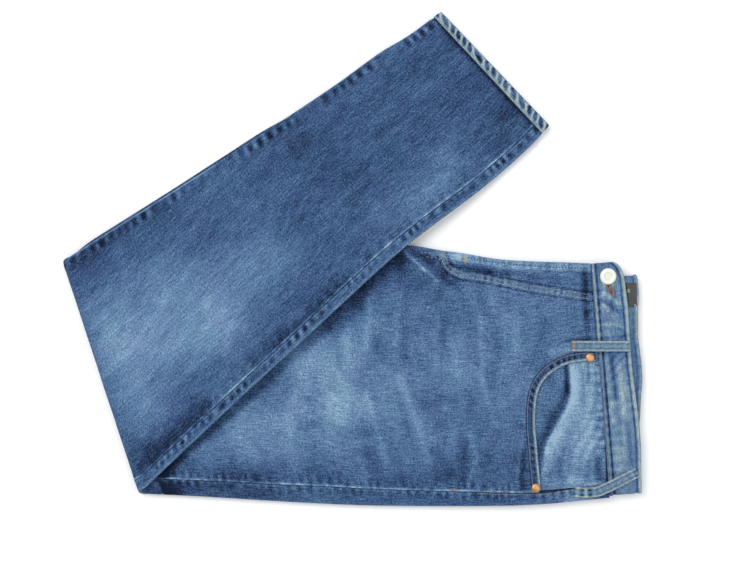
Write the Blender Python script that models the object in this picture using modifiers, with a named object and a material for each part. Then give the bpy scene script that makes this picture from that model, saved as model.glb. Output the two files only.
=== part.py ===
"""Tapered jeans, folded in half down the centre front and once more at the knee, lying flat.

The front of the left leg faces up on the thigh. The lower legs are turned up over it, so that the
front of the right leg faces up on the shin. Tables and sizes are in millimetres, and every mesh is
scaled to metres when it is made. +Z is up, +X runs towards the waistband and +Y towards the hem.
"""

import math

import bmesh
import bpy
import numpy as np

MM = 0.001

# Driving sizes
CLOTH = 1.2  # one layer of denim
GAP = 0.3  # between neighbouring pieces
CORE_GAP = 0.6  # between a wall and the hidden layers behind it
KNEE_RADIUS = 9.0  # outside of the fold at the knee
SHIN_STACK = 8.7  # four layers of the lower legs
HEM_LEAD = 10.0  # the same layers just before the hem
HEM_STACK = 11.2  # and at the hem, where each is turned up
HEM_WIDTH = 11.5
HEM_WALL = 1.9
BAND_WALL = 2.6
LOOP_WIDTH = 11.0
LOOP_WALL = 1.6
LOOP_ARCH = 0.8  # how far a loop stands off the waistband
BUTTON_RADIUS = 8.5
RIVET_RADIUS = 4.7
UNDERLAP = 6.0  # how far a wall runs on under the edge that it wraps
KNEE_UNDERLAP = 12.0  # how far the outer layer runs on under the knee
TUBE_SLACK = 0.25  # half the gap between the two legs where their edges show
LOWER_LEG_PEEK = 2.6  # how far the left shin shows past the right one
POCKET_HEM = 9.0  # width of the stitched band along the pocket's mouth
POCKET_HEM_WALL = 1.0
MOUTH_LIFT = POCKET_HEM_WALL + 2 * GAP  # top of that band above the panel
POCKET_UNDERLAP = 7.0  # how far the denim inside the pocket runs on under its mouth

# Outlines as x, y of the four edges, from the waist seam to the knee and from the knee to the hem
THIGH_INNER_EDGE = ((244, -5), (213, -4), (182, -3), (151, -1), (120, 4), (90, 9), (54, 14),
                    (-299, -3))
THIGH_SIDE_EDGE = ((264, -246), (229, -249.5), (198, -252.5), (151, -254.5), (28, -254.5),
                   (-49, -251.5), (-158, -245), (-220.5, -242))
SHIN_INNER_EDGE = ((-299, -3), (-209, 55), (-106, 121.5), (-18.5, 179.5), (28, 213), (58, 231),
                   (90.5, 255))
SHIN_SIDE_EDGE = ((-220.5, -242), (-138, -164), (-54.6, -87), (52, 10.5), (136, 75), (182, 115.5),
                  (202.5, 137.5))

# Height of the thigh's top surface: x, height
THIGH_HEIGHT = ((-320, 9.0), (40, 9.2), (130, 11.0), (200, 12.4), (264, 13.2))

# Distance from the side edge to the side seam on the thigh: share of the way to the knee, distance
SIDE_SEAM = ((0.0, 15.5), (0.07, 13.5), (0.14, 12.0), (0.3, 15.0), (0.6, 18.5), (1.0, 17.0))
SHIN_SEAM = 12.0

# Largest folds of the thigh: x and y of both ends, half width, height
FOLDS = (
    (50, 2, 74, -10, 7.0, 2.2),  # the thigh's cloth laps over the crotch
    (74, -10, 92, -26, 8.0, 1.3),
    (98, -10, 141, -18, 5.0, -1.6),  # trough between the fly's edge and its stitching
    (141, -18, 190, -23, 6.0, -1.2),
    (240, -36, 242, -84, 5.0, -1.0),  # hollow beside the waistband
    (222, -92, 196, -98, 6.0, 0.8),
    (150, -40, 162, -120, 9.0, 0.9),  # soft waves across the thigh
    (118, -60, 122, -150, 8.0, 0.8),
    (124, -170, 132, -232, 7.0, 0.9),
    (60, -50, 48, -130, 9.0, 0.9),
    (48, -130, 74, -215, 8.0, 0.8),
    (18, -60, 4, -130, 9.0, 0.7),
    (4, -130, 30, -212, 8.0, 0.7),
    (172, -196, 176, -238, 6.0, 1.1),
)
DEEPEST_TROUGH = 1.7

# Folds of the denim inside the pocket's mouth
POCKET_FOLDS = (
    (236, -118, 234, -138, 7.0, 2.6),
    (234, -138, 222, -172, 9.0, 2.8),
    (222, -172, 208, -205, 8.0, 2.2),
    (208, -205, 204, -226, 7.0, 1.6),
    (246, -150, 240, -215, 8.0, 1.6),
)

# Edge of the pocket's mouth on the front panel: x, y
POCKET_EDGE = ((256, -105.5), (239, -105), (224, -107), (211.5, -112), (199, -121.5), (191.5, -133),
               (188.3, -146), (187.3, -160), (187.5, -175), (188.8, -190), (190, -205), (191.5, -220),
               (193, -236), (194, -250))

# Waistband: levels of its four runs, from the left front on top to the right front at the bottom
LEFT_FRONT_LEVEL = 12.75
LEFT_BACK_LEVEL = 8.9
RIGHT_BACK_LEVEL = 5.1
RIGHT_FRONT_LEVEL = 1.3
SIDE_FOLD = 239.5  # distance of the side folds from the centre front
BACK_FOLD = 9.0  # distance of the centre back from the centre front
# Its width: distance from the centre front, width
BAND_WIDTHS = ((0, 27), (5, 30.5), (22, 33.6), (50, 34.6), (110, 33.6), (160, 36), (190, 36),
               (240, 33))
# How far the inside of its back shows past the front: distance from the centre front, step
BACK_RISE = ((0, 13), (20, 14), (37, 13.6), (50, 10.8), (80, 9.2), (107, 10.8), (122, 10), (143, 5.6),
             (168, 1.2), (242, 0))
# Waves of its front run: distance from the centre front, rise
BAND_WAVES = ((0, -0.8), (12, 0.0), (40, 0.5), (75, 0.2), (110, 1.3), (150, 0.8), (190, 1.1),
              (228, 0.2), (242, 0.0))
# Where its sections are: distances from the centre front
BAND_STATIONS = (0, 5, 13, 22, 37, 50, 65, 80, 94, 107, 122, 136, 150, 165, 180, 195, 210, 224)

# Middle lines of the belt loops: x, y, extra height
FRONT_LOOP = ((224.5, -89.6, 0.0), (236, -89.6, 0.3), (247, -89.6, 0.8), (257, -89.6, 0.9),
              (270, -89.6, 0.9), (284, -89.6, 0.2))
SIDE_LOOP = ((227, -239, 0.0), (240, -240, 0.4), (252, -238.5, 0.8), (264, -233, 0.9),
             (276, -227, 0.9), (292, -219, 0.2))

WAIST_BUTTON = (262, -18)
WAIST_RIVET = (243.5, -101.5)
SIDE_RIVET = (188, -235.4)
# Corners of the label inside the back of the waistband
LABEL = ((280.5, -24.5), (292, -24.5), (292.5, -48), (284.5, -50))
LABEL_WALL = 0.7

# Colours
DENIM = (0.055, 0.12, 0.26)
WORN_DENIM = (0.16, 0.27, 0.42)
COPPER = (0.55, 0.24, 0.11)
ENAMEL = (0.80, 0.82, 0.76)
BLACK = (0.02, 0.02, 0.022)


def look_up(table, at):
    """A two-column table read at a value, or at an array of values."""
    columns = np.array(table, float)
    return np.interp(at, columns[:, 0], columns[:, 1])


def evenly(line, count):
    """The same line as that many points, evenly spaced along it."""
    along = np.concatenate([[0], np.cumsum(np.linalg.norm(np.diff(line, axis=0), axis=1))])
    at = np.linspace(0, along[-1], count)
    return np.stack([np.interp(at, along, line[:, k]) for k in range(line.shape[1])], axis=1)


def smooth_path(points, count):
    """A smooth curve through the points, as that many points evenly spaced along it."""
    knots = np.array(points, float)
    ends = np.vstack([2 * knots[0] - knots[1], knots, 2 * knots[-1] - knots[-2]])
    dense = []
    for before, here, there, after in zip(ends, ends[1:], ends[2:], ends[3:]):
        reach = np.linalg.norm(there - here)
        leave = (there - before) / np.linalg.norm(there - before) * reach
        arrive = (after - here) / np.linalg.norm(after - here) * reach
        for t in np.linspace(0, 1, 24, endpoint=False):
            dense.append((2 * t**3 - 3 * t**2 + 1) * here + (t**3 - 2 * t**2 + t) * leave
                         + (3 * t**2 - 2 * t**3) * there + (t**3 - t**2) * arrive)
    return evenly(np.vstack(dense + [knots[-1]]), count)


def smooth_step(t):
    t = np.clip(t, 0, 1)
    return t * t * (3 - 2 * t)


def left_of(x, y, start, end):
    """Distance of a point to the left of the line from start to end."""
    (x0, y0), (x1, y1) = start, end
    return ((x1 - x0) * (y - y0) - (y1 - y0) * (x - x0)) / math.hypot(x1 - x0, y1 - y0)


def ridge(x, y, folds):
    """The height that soft ridges and troughs add: each fades out across its width and past its ends."""
    total = 0.0
    for x0, y0, x1, y1, half_width, height in folds:
        length = math.hypot(x1 - x0, y1 - y0)
        along = ((x - x0) * (x1 - x0) + (y - y0) * (y1 - y0)) / length
        across = left_of(x, y, (x0, y0), (x1, y1))
        past_end = max(-along, along - length, 0)
        total += height * math.exp(-(across**2 + past_end**2) / (2 * (0.6 * half_width) ** 2))
    return total


# The fold at the knee runs between these corners, and faces into the garment along knee_in
knee_inner = np.array(THIGH_INNER_EDGE[-1], float)
knee_side = np.array(THIGH_SIDE_EDGE[-1], float)
knee_along = (knee_side - knee_inner) / np.linalg.norm(knee_side - knee_inner)
knee_in = np.array([-knee_along[1], knee_along[0]])


def clear_of_knee(points):
    """An edge's curve, cut where the knee's bend begins."""
    line = smooth_path(points, 400)
    return evenly(line[(line - knee_inner) @ knee_in >= KNEE_RADIUS], 400)


thigh_inner = clear_of_knee(THIGH_INNER_EDGE)
thigh_side = clear_of_knee(THIGH_SIDE_EDGE)
shin_inner = clear_of_knee(SHIN_INNER_EDGE[::-1])[::-1]
shin_side = clear_of_knee(SHIN_SIDE_EDGE[::-1])[::-1]
shin_length = np.linalg.norm(np.diff(shin_side, axis=0), axis=1).sum()
thigh_length = np.linalg.norm(np.diff(thigh_side, axis=0), axis=1).sum()
pocket_edge = smooth_path(POCKET_EDGE, 60)


def at_share(line, share):
    places = np.linspace(0, 1, len(line))
    return np.array([np.interp(share, places, line[:, k]) for k in range(2)])


def thigh_level(x):
    """Height of the thigh's upper surface, without its folds."""
    return float(look_up(THIGH_HEIGHT, x))


def thigh_relief(x, y):
    """Height of the thigh's folds. They fade out where the lower legs press on it."""
    under_shin = smooth_step(left_of(x, y, SHIN_SIDE_EDGE[0], SHIN_SIDE_EDGE[3]) / 14 + 1)
    return float((1 - under_shin) * ridge(x, y, FOLDS))


def past_thigh(x, y):
    return left_of(x, y, THIGH_INNER_EDGE[-1], THIGH_INNER_EDGE[-2])


def shin_base(x, y):
    """Height of what the lower legs lie on: the thigh, and past its inner edge a slope down to the floor."""
    return thigh_level(x) * float(1 - smooth_step(past_thigh(x, y) / 78))


class Station:
    """One line across the folded legs, from the inner to the side edge, with its layers stacked on it."""

    def __init__(self, inner, side, kind, share=0.0, angle=0.0, stack=SHIN_STACK):
        self.inner = np.array(inner, float)
        self.kind = kind
        self.share = share
        self.angle = angle
        self.stack = stack
        self.width = float(np.linalg.norm(np.array(side) - self.inner))
        self.across = (np.array(side) - self.inner) / self.width

    def plan(self, w):
        return self.inner + self.across * w

    def height(self, w):
        """Thickness of the stack at that distance from the inner edge."""
        return thigh_level(self.plan(w)[0]) if self.kind == "thigh" else self.stack

    def outer(self, w, depth):
        """A point that far in from the layer that lies outermost round the knee."""
        x, y = self.plan(w)
        if self.kind == "thigh":
            return x, y, depth
        if self.kind == "shin":
            return x, y, shin_base(x, y) + self.stack - depth
        reach = KNEE_RADIUS - depth
        x, y = self.plan(w) + knee_in * (KNEE_RADIUS - reach * math.cos(self.angle))
        return x, y, KNEE_RADIUS + reach * math.sin(self.angle)

    def inmost(self, w, depth):
        """A point that far in from the layer that lies innermost at the knee."""
        return self.outer(w, self.height(w) - depth)

    def lobe(self, w):
        """Radius of the edge of one leg's two layers there."""
        return self.height(w) / 4 - TUBE_SLACK

    def seam(self):
        """Distance from the side edge to the seam."""
        return float(look_up(SIDE_SEAM, self.share)) if self.kind == "thigh" else SHIN_SEAM

    def relief(self, w):
        """Height of the folds there. They fade out at both edges."""
        if self.kind != "thigh":
            return 0.0
        r = self.lobe(w)
        inside = smooth_step((w - r) / 5) * smooth_step((self.width - w - r) / 8)
        return thigh_relief(*self.plan(w)) * float(inside)


def thigh_station(share):
    return Station(at_share(thigh_inner, share), at_share(thigh_side, share), "thigh", share)


def shin_station(share, stack=None):
    growth = ((0, SHIN_STACK), (0.7, SHIN_STACK), (0.96, HEM_LEAD))
    return Station(at_share(shin_inner, share), at_share(shin_side, share), "shin", share,
                   stack=stack or float(look_up(growth, share)))


def knee_station(angle):
    """A line of the bend at the knee: -90 degrees is on the floor and 90 on top."""
    up = (math.sin(angle) + 1) / 2
    ends = []
    edges = ((thigh_inner[-1], shin_inner[0], knee_inner), (thigh_side[-1], shin_side[0], knee_side))
    for low, high, corner in edges:
        slide = (1 - up) * ((low - corner) @ knee_along) + up * ((high - corner) @ knee_along)
        ends.append(corner + knee_along * slide)
    return Station(ends[0], ends[1], "knee", angle=angle)


THIGH_END = 0.968  # share of the way to the knee where the left leg's walls end inside the fold
HEM_SHARE = 1 - HEM_WIDTH / shin_length
HALF_TURN = [math.radians(a) for a in (-90, -45, 0, 45, 90)]
PANEL_STEPS = 9  # columns of a panel past those beside its inner edge

thigh_shares = [float(s) for s in (*np.linspace(0, 0.52, 27), *np.linspace(0.57, THIGH_END, 8))]
hidden_shares = thigh_shares[:-1:2] + [THIGH_END + 0.001]
knee_angles = [math.radians(a) for a in (-67.5, -45, -22.5, 0, 22.5, 45, 67.5)]
shin_shares = [float(s) for s in np.linspace(0, HEM_SHARE - GAP / shin_length, 14)]


def new_object(name, points, faces, colour, roughness=0.9, metallic=0.0, edges=()):
    """A mesh object from points in millimetres, with a material of its own."""
    mesh = bpy.data.meshes.new(name)
    mesh.from_pydata([tuple(c * MM for c in p) for p in points], edges, faces)
    obj = bpy.data.objects.new(name, mesh)
    parts.objects.link(obj)
    material = bpy.data.materials.new(name)
    material.use_nodes = True
    shader = material.node_tree.nodes["Principled BSDF"]
    shader.inputs["Base Color"].default_value = (*colour, 1)
    shader.inputs["Roughness"].default_value = roughness
    shader.inputs["Metallic"].default_value = metallic
    mesh.materials.append(material)
    mesh.shade_smooth()
    mesh.set_sharp_from_angle(angle=math.radians(40))
    return obj


def grid_faces(rows, columns, closed=False):
    faces = []
    for i in range(rows - 1):
        for j in range(columns if closed else columns - 1):
            k = (j + 1) % columns
            faces.append((i * columns + j, (i + 1) * columns + j, (i + 1) * columns + k, i * columns + k))
    return faces


def wall(name, rows, thickness, colour=DENIM, closed=False, offset=-1.0):
    """A cloth wall: an open surface through rows of points, thickened away from its outer side."""
    faces = grid_faces(len(rows), len(rows[0]), closed)
    obj = new_object(name, [p for row in rows for p in row], faces, colour)
    thick = obj.modifiers.new("Cloth", "SOLIDIFY")
    thick.thickness = thickness * MM
    thick.offset = offset
    return obj


def solid_loft(name, sections, colour):
    """A closed solid through closed sections, capped at both ends."""
    count = len(sections[0])
    faces = grid_faces(len(sections), count, closed=True)
    last = (len(sections) - 1) * count
    faces.append(tuple(range(count)))
    faces.append(tuple(reversed(range(last, last + count))))
    return new_object(name, [p for section in sections for p in section], faces, colour)


def around_edge(station, place, at_side, radius, underlap, shift=0.0):
    """Points from under a leg's edge, round its lobe and out on top."""
    w_edge = station.width if at_side else 0.0
    inward = -1 if at_side else 1
    r = station.lobe(w_edge)
    middle = station.height(w_edge) / 4
    points = [place(w_edge + inward * underlap, middle + radius)] if underlap else []
    for turn in reversed(HALF_TURN):
        w = w_edge + inward * (r - shift - radius * math.cos(turn))
        points.append(place(w, middle + radius * math.sin(turn)))
    return points


def hidden_edge(station, at_side, outer_wrapped, inner_wrapped, peek=0.0):
    """The layered edge of the hidden cloth: the outer leg's lobe, a groove, and the inner leg's lobe.

    A lobe that a wall wraps is smaller by the wall, and its groove takes the wall's own end."""
    r = station.lobe(station.width if at_side else 0.0)
    cover = CLOTH + CORE_GAP
    groove = UNDERLAP + CORE_GAP if outer_wrapped or inner_wrapped else r + 2
    outer = around_edge(station, station.outer, at_side, r - cover if outer_wrapped else r, groove)
    inner = around_edge(station, station.inmost, at_side, r - cover if inner_wrapped else r, groove, peek)
    return outer[::-1] + inner


def panel_places(station, steps):
    """Distances from the inner edge of a panel's columns, closer together beside that edge."""
    near = [station.lobe(0.0) + d for d in (3, 7, 12, 18, 25)]
    seam = station.width - station.seam() - GAP / 2
    return near + [float(w) for w in np.linspace(34, seam, steps)]


def hidden_section(station, outer_depth, inmost_depth, outer_wrapped, inner_wrapped, peek=0.0):
    """The closed section of the hidden layers on one line across the legs."""
    margin = 8.0
    reach = [margin] + panel_places(station, PANEL_STEPS)[2:-1] + [station.width - margin]
    outer_run = [station.outer(w, outer_depth) for w in reach]
    inmost_run = [station.inmost(w, inmost_depth) for w in reach[::-1]]
    side = hidden_edge(station, True, outer_wrapped, inner_wrapped)
    inner = hidden_edge(station, False, outer_wrapped, inner_wrapped, peek)
    return (outer_run + side + inmost_run + inner[::-1])[::-1]


def hidden_layers():
    """Everything inside the folds as one rounded solid with layered edges, flat underneath where it rests."""
    sections = []
    for share in hidden_shares:
        pocket = (CLOTH + 2 * GAP) * float(1 - smooth_step((share - 0.24) / 0.08))
        depth = CLOTH + CORE_GAP + DEEPEST_TROUGH + pocket
        sections.append(hidden_section(thigh_station(share), 0.0, depth, False, True))
    for share in (THIGH_END + 0.004, 1.0):
        sections.append(hidden_section(thigh_station(share), CLOTH + CORE_GAP, CORE_GAP, True, False))
    for angle in knee_angles:
        sections.append(hidden_section(knee_station(angle), CLOTH + CORE_GAP, CORE_GAP, True, False))
    for share in shin_shares:
        station = shin_station(share)
        peek = LOWER_LEG_PEEK * float(smooth_step(share / 0.06) * (1 - smooth_step((share - 0.5) / 0.1)))
        sections.append(hidden_section(station, CLOTH + CORE_GAP, CORE_GAP, True, False, peek))
    return solid_loft("hidden_layers", sections, DENIM)


def front_row(station, place, steps):
    """One row of a front panel: from under the inner edge, round it and over to the seam."""
    over = [place(w, -station.relief(w)) for w in panel_places(station, steps)]
    return around_edge(station, place, False, station.lobe(0.0), UNDERLAP) + over


def back_row(station, place):
    """One row of a back panel's strip: from the seam over to the side edge, round it and under."""
    r = station.lobe(station.width)
    seam = station.width - station.seam() + GAP / 2
    over = [place(w, -station.relief(w)) for w in np.linspace(seam, station.width - r - 2, 3)]
    return over + around_edge(station, place, True, r, UNDERLAP)[::-1]


def left_leg():
    stations = [thigh_station(share) for share in thigh_shares]
    front = wall("left_front_leg", [front_row(s, s.inmost, 12) for s in stations], CLOTH)
    cut(front, "DIFFERENCE", prism("pocket_cut", pocket_outline(0.0)))
    wall("left_back_leg", [back_row(s, s.inmost) for s in stations], CLOTH)


def right_leg():
    start = 1 - KNEE_UNDERLAP / thigh_length
    stations = [thigh_station(start), thigh_station(1.0)]
    stations += [knee_station(angle) for angle in knee_angles]
    stations += [shin_station(share) for share in shin_shares]
    wall("right_front_leg", [front_row(s, s.outer, PANEL_STEPS)[::-1] for s in stations], CLOTH, WORN_DENIM)
    wall("right_back_leg", [back_row(s, s.outer)[::-1] for s in stations], CLOTH)


def hems():
    """Each leg's turned-up end: a flattened ring, open where the foot comes out."""
    stations = [shin_station(s, HEM_STACK) for s in np.linspace(HEM_SHARE, 1, 3)]
    for name, attribute, flip in (("right_hem", "outer", True), ("left_hem", "inmost", False)):
        rows = []
        for station in stations:
            place = getattr(station, attribute)
            middle = HEM_STACK / 4
            r = middle - TUBE_SLACK
            across = np.linspace(r + 3, station.width - r - 3, 8)
            side = around_edge(station, place, True, r, 0)
            inner = around_edge(station, place, False, r, 0)
            over = [place(w, 0.0) for w in across]
            under = [place(w, 2 * middle - 2 * TUBE_SLACK) for w in across[::-1]]
            row = inner + over + side[::-1] + under
            rows.append(row[::-1] if flip else row)
        wall(name, rows, HEM_WALL, DENIM, closed=True)


def prism(name, outline):
    """A cutter through the whole thigh with that outline."""
    mesh = bmesh.new()
    face = mesh.faces.new([mesh.verts.new((x * MM, y * MM, -5 * MM)) for x, y in outline])
    if face.normal.z > 0:
        face.normal_flip()
    up = bmesh.ops.extrude_face_region(mesh, geom=[face])
    moved = [v for v in up["geom"] if isinstance(v, bmesh.types.BMVert)]
    bmesh.ops.translate(mesh, vec=(0, 0, 40 * MM), verts=moved)
    bmesh.ops.recalc_face_normals(mesh, faces=mesh.faces)
    data = bpy.data.meshes.new(name)
    mesh.to_mesh(data)
    mesh.free()
    cutter = bpy.data.objects.new(name, data)
    cutters.objects.link(cutter)
    cutter.hide_render = True
    cutter.display_type = "WIRE"
    return cutter


def cut(obj, operation, cutter):
    boolean = obj.modifiers.new(cutter.name, "BOOLEAN")
    boolean.operation = operation
    boolean.object = cutter


def beside(line, distance):
    """A line moved sideways, to its left when the distance is positive."""
    along = np.gradient(line, axis=0)
    along /= np.linalg.norm(along, axis=1)[:, None]
    return line + distance * np.stack([-along[:, 1], along[:, 0]], axis=1)


def pocket_outline(grown):
    """The outline of the pocket's opening, from its mouth to past the waist and the side."""
    mouth = beside(pocket_edge, -grown)
    return [tuple(p) for p in mouth] + [(300, -280), (300, -105.5 + grown)]


def inside_pocket(x, y):
    """Distance of a point from the pocket's mouth, into the opening."""
    nearest = int(np.argmin(np.hypot(pocket_edge[:, 0] - x, pocket_edge[:, 1] - y)))
    here = min(nearest, len(pocket_edge) - 2)
    return left_of(x, y, pocket_edge[here], pocket_edge[here + 1])


def pocket_facing_point(station, w):
    x, y = station.plan(w)
    open_by = inside_pocket(x, y)
    sunk = (CLOTH + 2 * GAP) * float(1 - smooth_step(open_by / 14))
    near_seam = float(smooth_step((station.width - station.seam() - w) / 10))
    puffed = near_seam * float(smooth_step(open_by / 9)) * ridge(x, y, POCKET_FOLDS)
    return station.inmost(w, sunk - puffed)


def pocket():
    """The denim that shows inside the pocket, puffed up, and the stitched band along the pocket's mouth."""
    rows = []
    for share in np.linspace(0, 0.17, 14):
        station = thigh_station(float(share))
        seam = station.width - station.seam() - GAP / 2
        rows.append([pocket_facing_point(station, w) for w in np.linspace(88, seam, 16)])
    facing = wall("left_pocket_facing", rows, CLOTH)
    cut(facing, "INTERSECT", prism("pocket_opening", pocket_outline(POCKET_UNDERLAP)))
    rows = []
    for line in (beside(pocket_edge, -d) for d in (0.3, 3.2, 6.1, POCKET_HEM)):
        shown = evenly(np.array([p for p in line if on_front_panel(*p)]), 28)
        rows.append([(x, y, thigh_level(x) + thigh_relief(x, y) + MOUTH_LIFT) for x, y in shown])
    wall("left_pocket_mouth", rows, POCKET_HEM_WALL, WORN_DENIM)


def on_front_panel(x, y):
    """True between the waistband and the side seam."""
    waist = thigh_station(0.0)
    from_waist = -left_of(x, y, waist.plan(0), waist.plan(waist.width))
    side = look_up([(p[0], p[1]) for p in thigh_side[::-10]], x)
    return from_waist > GAP and y > side + 12.5


def band_bend(level, below, edge, way):
    """A fold of the waistband down to the next level, at the side (way 1) or the centre back (way -1)."""
    radius = (level - below) / 2
    middle = edge - way * (radius + BAND_WALL / 2)
    turns = np.radians(np.linspace(90, -90, 7))
    return [(middle + way * radius * math.cos(a), below + radius * (1 + math.sin(a)), 1)
            for a in turns]


def band_path():
    """The waistband's way round: distance from the centre front, height, and 1 on its back or 0 in front."""
    backs = [v for v in BAND_STATIONS if v > BACK_FOLD + 3]
    path = [(v, LEFT_FRONT_LEVEL + float(look_up(BAND_WAVES, v)), 0) for v in BAND_STATIONS]
    path += band_bend(LEFT_FRONT_LEVEL, LEFT_BACK_LEVEL, SIDE_FOLD, 1)
    path += [(v, LEFT_BACK_LEVEL, 1) for v in backs[::-1]]
    path += band_bend(LEFT_BACK_LEVEL, RIGHT_BACK_LEVEL, BACK_FOLD, -1)
    path += [(v, RIGHT_BACK_LEVEL, 1) for v in backs]
    path += band_bend(RIGHT_BACK_LEVEL, RIGHT_FRONT_LEVEL, SIDE_FOLD, 1)
    path += [(v, RIGHT_FRONT_LEVEL, 0) for v in BAND_STATIONS[::-1]]
    return path


def waistband():
    waist = thigh_station(0.0)
    out = np.array([-waist.across[1], waist.across[0]])
    rows = []
    for v, z, is_back in band_path():
        top = look_up(BAND_WIDTHS, v) + is_back * look_up(BACK_RISE, v)
        columns = [waist.plan(v) + out * d for d in np.linspace(GAP, GAP + top, 4)]
        rows.append([(x, y, z) for x, y in columns])
    wall("waistband", rows, BAND_WALL, WORN_DENIM, offset=0.0)


def top_surface(x, y):
    """Height of the thigh's cloth, or of the waistband's front where it covers that point."""
    waist = thigh_station(0.0)
    v = float((np.array((x, y)) - waist.inner) @ waist.across)
    if left_of(x, y, waist.plan(0), waist.plan(waist.width)) < 0:
        return thigh_level(x) + thigh_relief(x, y)
    return LEFT_FRONT_LEVEL + float(look_up(BAND_WAVES, v)) + BAND_WALL / 2


def resting_height(x, y, reach):
    """Height of the highest cloth within that reach."""
    steps = np.linspace(-reach, reach, 5)
    return max(top_surface(x + dx, y + dy) for dx in steps for dy in steps)


def belt_loop(name, middle_line):
    """A strap sewn down at its lower end, that stands a little off the waistband."""
    line = np.array(middle_line, float)
    along = np.gradient(line[:, :2], axis=0)
    along /= np.linalg.norm(along, axis=1)[:, None]
    rows = []
    for (x, y, lift), (dx, dy) in zip(line, along):
        z = resting_height(x, y, LOOP_WIDTH / 2) + GAP + LOOP_WALL + lift * LOOP_ARCH
        offsets = [LOOP_WIDTH * share for share in (-0.5, -0.4, 0.0, 0.4, 0.5)]
        drops = (0.25, 0.0, 0.0, 0.0, 0.25)
        rows.append([(x - dy * d, y + dx * d, z - drop) for d, drop in zip(offsets, drops)])
    wall(name, rows, LOOP_WALL, WORN_DENIM)


def turned(name, profile, place, height, colour, roughness, metallic):
    """A round piece: a profile of radius and height, from its top centre down to the bottom, turned on +Z."""
    edges = [(i, i + 1) for i in range(len(profile) - 1)]
    obj = new_object(name, [(r, 0, z) for r, z in profile], [], colour, roughness, metallic, edges)
    turn = obj.modifiers.new("Turn", "SCREW")
    turn.steps = turn.render_steps = 20
    turn.use_merge_vertices = True
    turn.merge_threshold = 0.00005
    obj.location = (place[0] * MM, place[1] * MM, height * MM)
    return obj


def hardware():
    rim = BUTTON_RADIUS
    button = ((0, 1.9), (3.4, 1.9), (4.2, 2.7), (5.4, 3.1), (7.2, 2.9), (rim - 0.3, 2.2), (rim, 1.3),
              (rim - 0.5, 0.4), (rim - 1.4, 0), (0, 0))
    base = resting_height(*WAIST_BUTTON, 4) + GAP
    turned("waist_button", button, WAIST_BUTTON, base, ENAMEL, 0.35, 0.0)
    rim = RIVET_RADIUS
    rivet = ((0, 2.0), (1.0, 1.9), (1.5, 1.3), (2.6, 1.35), (3.7, 1.2), (rim - 0.3, 0.7), (rim, 0.2),
             (rim - 0.2, 0), (0, 0))
    for name, place in (("rivet_waist", WAIST_RIVET), ("rivet_side", SIDE_RIVET)):
        highest = max(thigh_relief(place[0] + d, place[1]) for d in (-rim, 0, rim))
        base = thigh_level(place[0] + rim) + highest
        turned(name, rivet, place, base + MOUTH_LIFT + GAP, COPPER, 0.4, 1.0)
    top = LEFT_BACK_LEVEL + BAND_WALL / 2 + GAP + LABEL_WALL
    a, b, c, d = [(x, y, top) for x, y in LABEL]
    label = wall("waist_label", [[a, b], [d, c]], LABEL_WALL, BLACK)
    label.data.shade_flat()


def main():
    print("width at the waist", round(thigh_station(0).width, 1), "knee", round(knee_station(0).width, 1),
          "hem", round(shin_station(1.0).width, 1))
    hidden_layers()
    left_leg()
    right_leg()
    hems()
    pocket()
    waistband()
    belt_loop("belt_loop_front", FRONT_LOOP)
    belt_loop("belt_loop_side", SIDE_LOOP)
    hardware()


for old in list(bpy.data.objects):
    bpy.data.objects.remove(old)
parts = bpy.data.collections.new("Tapered jeans")
cutters = bpy.data.collections.new("Cutters")
for collection in (parts, cutters):
    bpy.context.scene.collection.children.link(collection)
main()
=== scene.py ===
# Tapered jeans, folded in half down the centre front and once more at the knee, lying flat.
# Lengths are in millimetres until a mesh is made. +Z is up, +X runs to the waistband, +Y to the hem.
import math

import bpy
import numpy as np
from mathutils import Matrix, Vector
from mathutils.bvhtree import BVHTree


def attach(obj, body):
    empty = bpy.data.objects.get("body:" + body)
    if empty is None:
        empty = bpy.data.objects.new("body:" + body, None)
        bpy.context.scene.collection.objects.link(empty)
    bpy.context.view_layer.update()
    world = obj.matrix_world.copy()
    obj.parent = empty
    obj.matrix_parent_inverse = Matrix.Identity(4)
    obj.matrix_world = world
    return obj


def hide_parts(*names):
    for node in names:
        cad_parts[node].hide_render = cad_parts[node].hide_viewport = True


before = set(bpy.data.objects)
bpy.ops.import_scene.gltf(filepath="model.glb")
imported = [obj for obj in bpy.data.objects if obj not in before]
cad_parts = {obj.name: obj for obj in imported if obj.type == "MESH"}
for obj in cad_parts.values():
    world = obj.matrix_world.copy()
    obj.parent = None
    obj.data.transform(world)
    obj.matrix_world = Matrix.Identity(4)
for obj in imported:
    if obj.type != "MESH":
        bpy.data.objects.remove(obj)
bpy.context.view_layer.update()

mm = 0.001
bpy.ops.object.select_all(action="DESELECT")
print("frame loaded:", len(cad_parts), "pieces")


# Curves, soft lines and smooth random patches

def lookUp(table, at):
    columns = np.array(table, float)
    return np.interp(at, columns[:, 0], columns[:, 1])


def smoothStep(t):
    t = np.clip(t, 0, 1)
    return t * t * (3 - 2 * t)


def bell(x, middle, width, power=2):
    # 1 in the middle, and next to nothing from two widths away
    return np.exp(-np.abs((x - middle) / width) ** power)


def unit(vector):
    return vector / np.linalg.norm(vector)


def leftward(way):
    # A direction in plan, turned a quarter to the left
    return np.stack([-way[..., 1], way[..., 0]], axis=-1)


def headings(line):
    way = np.gradient(line[:, :2], axis=0)
    return way / np.linalg.norm(way, axis=1)[:, None]


def runs(points):
    # How far along the line each point lies
    steps = np.linalg.norm(np.diff(points, axis=0), axis=-1)
    return np.concatenate([0 * steps[:1], np.cumsum(steps, axis=0)])


def evenly(line, count):
    line = np.asarray(line, float)
    at = np.linspace(0, runs(line)[-1], count)
    return np.stack([np.interp(at, runs(line), places) for places in line.T], axis=1)


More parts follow.
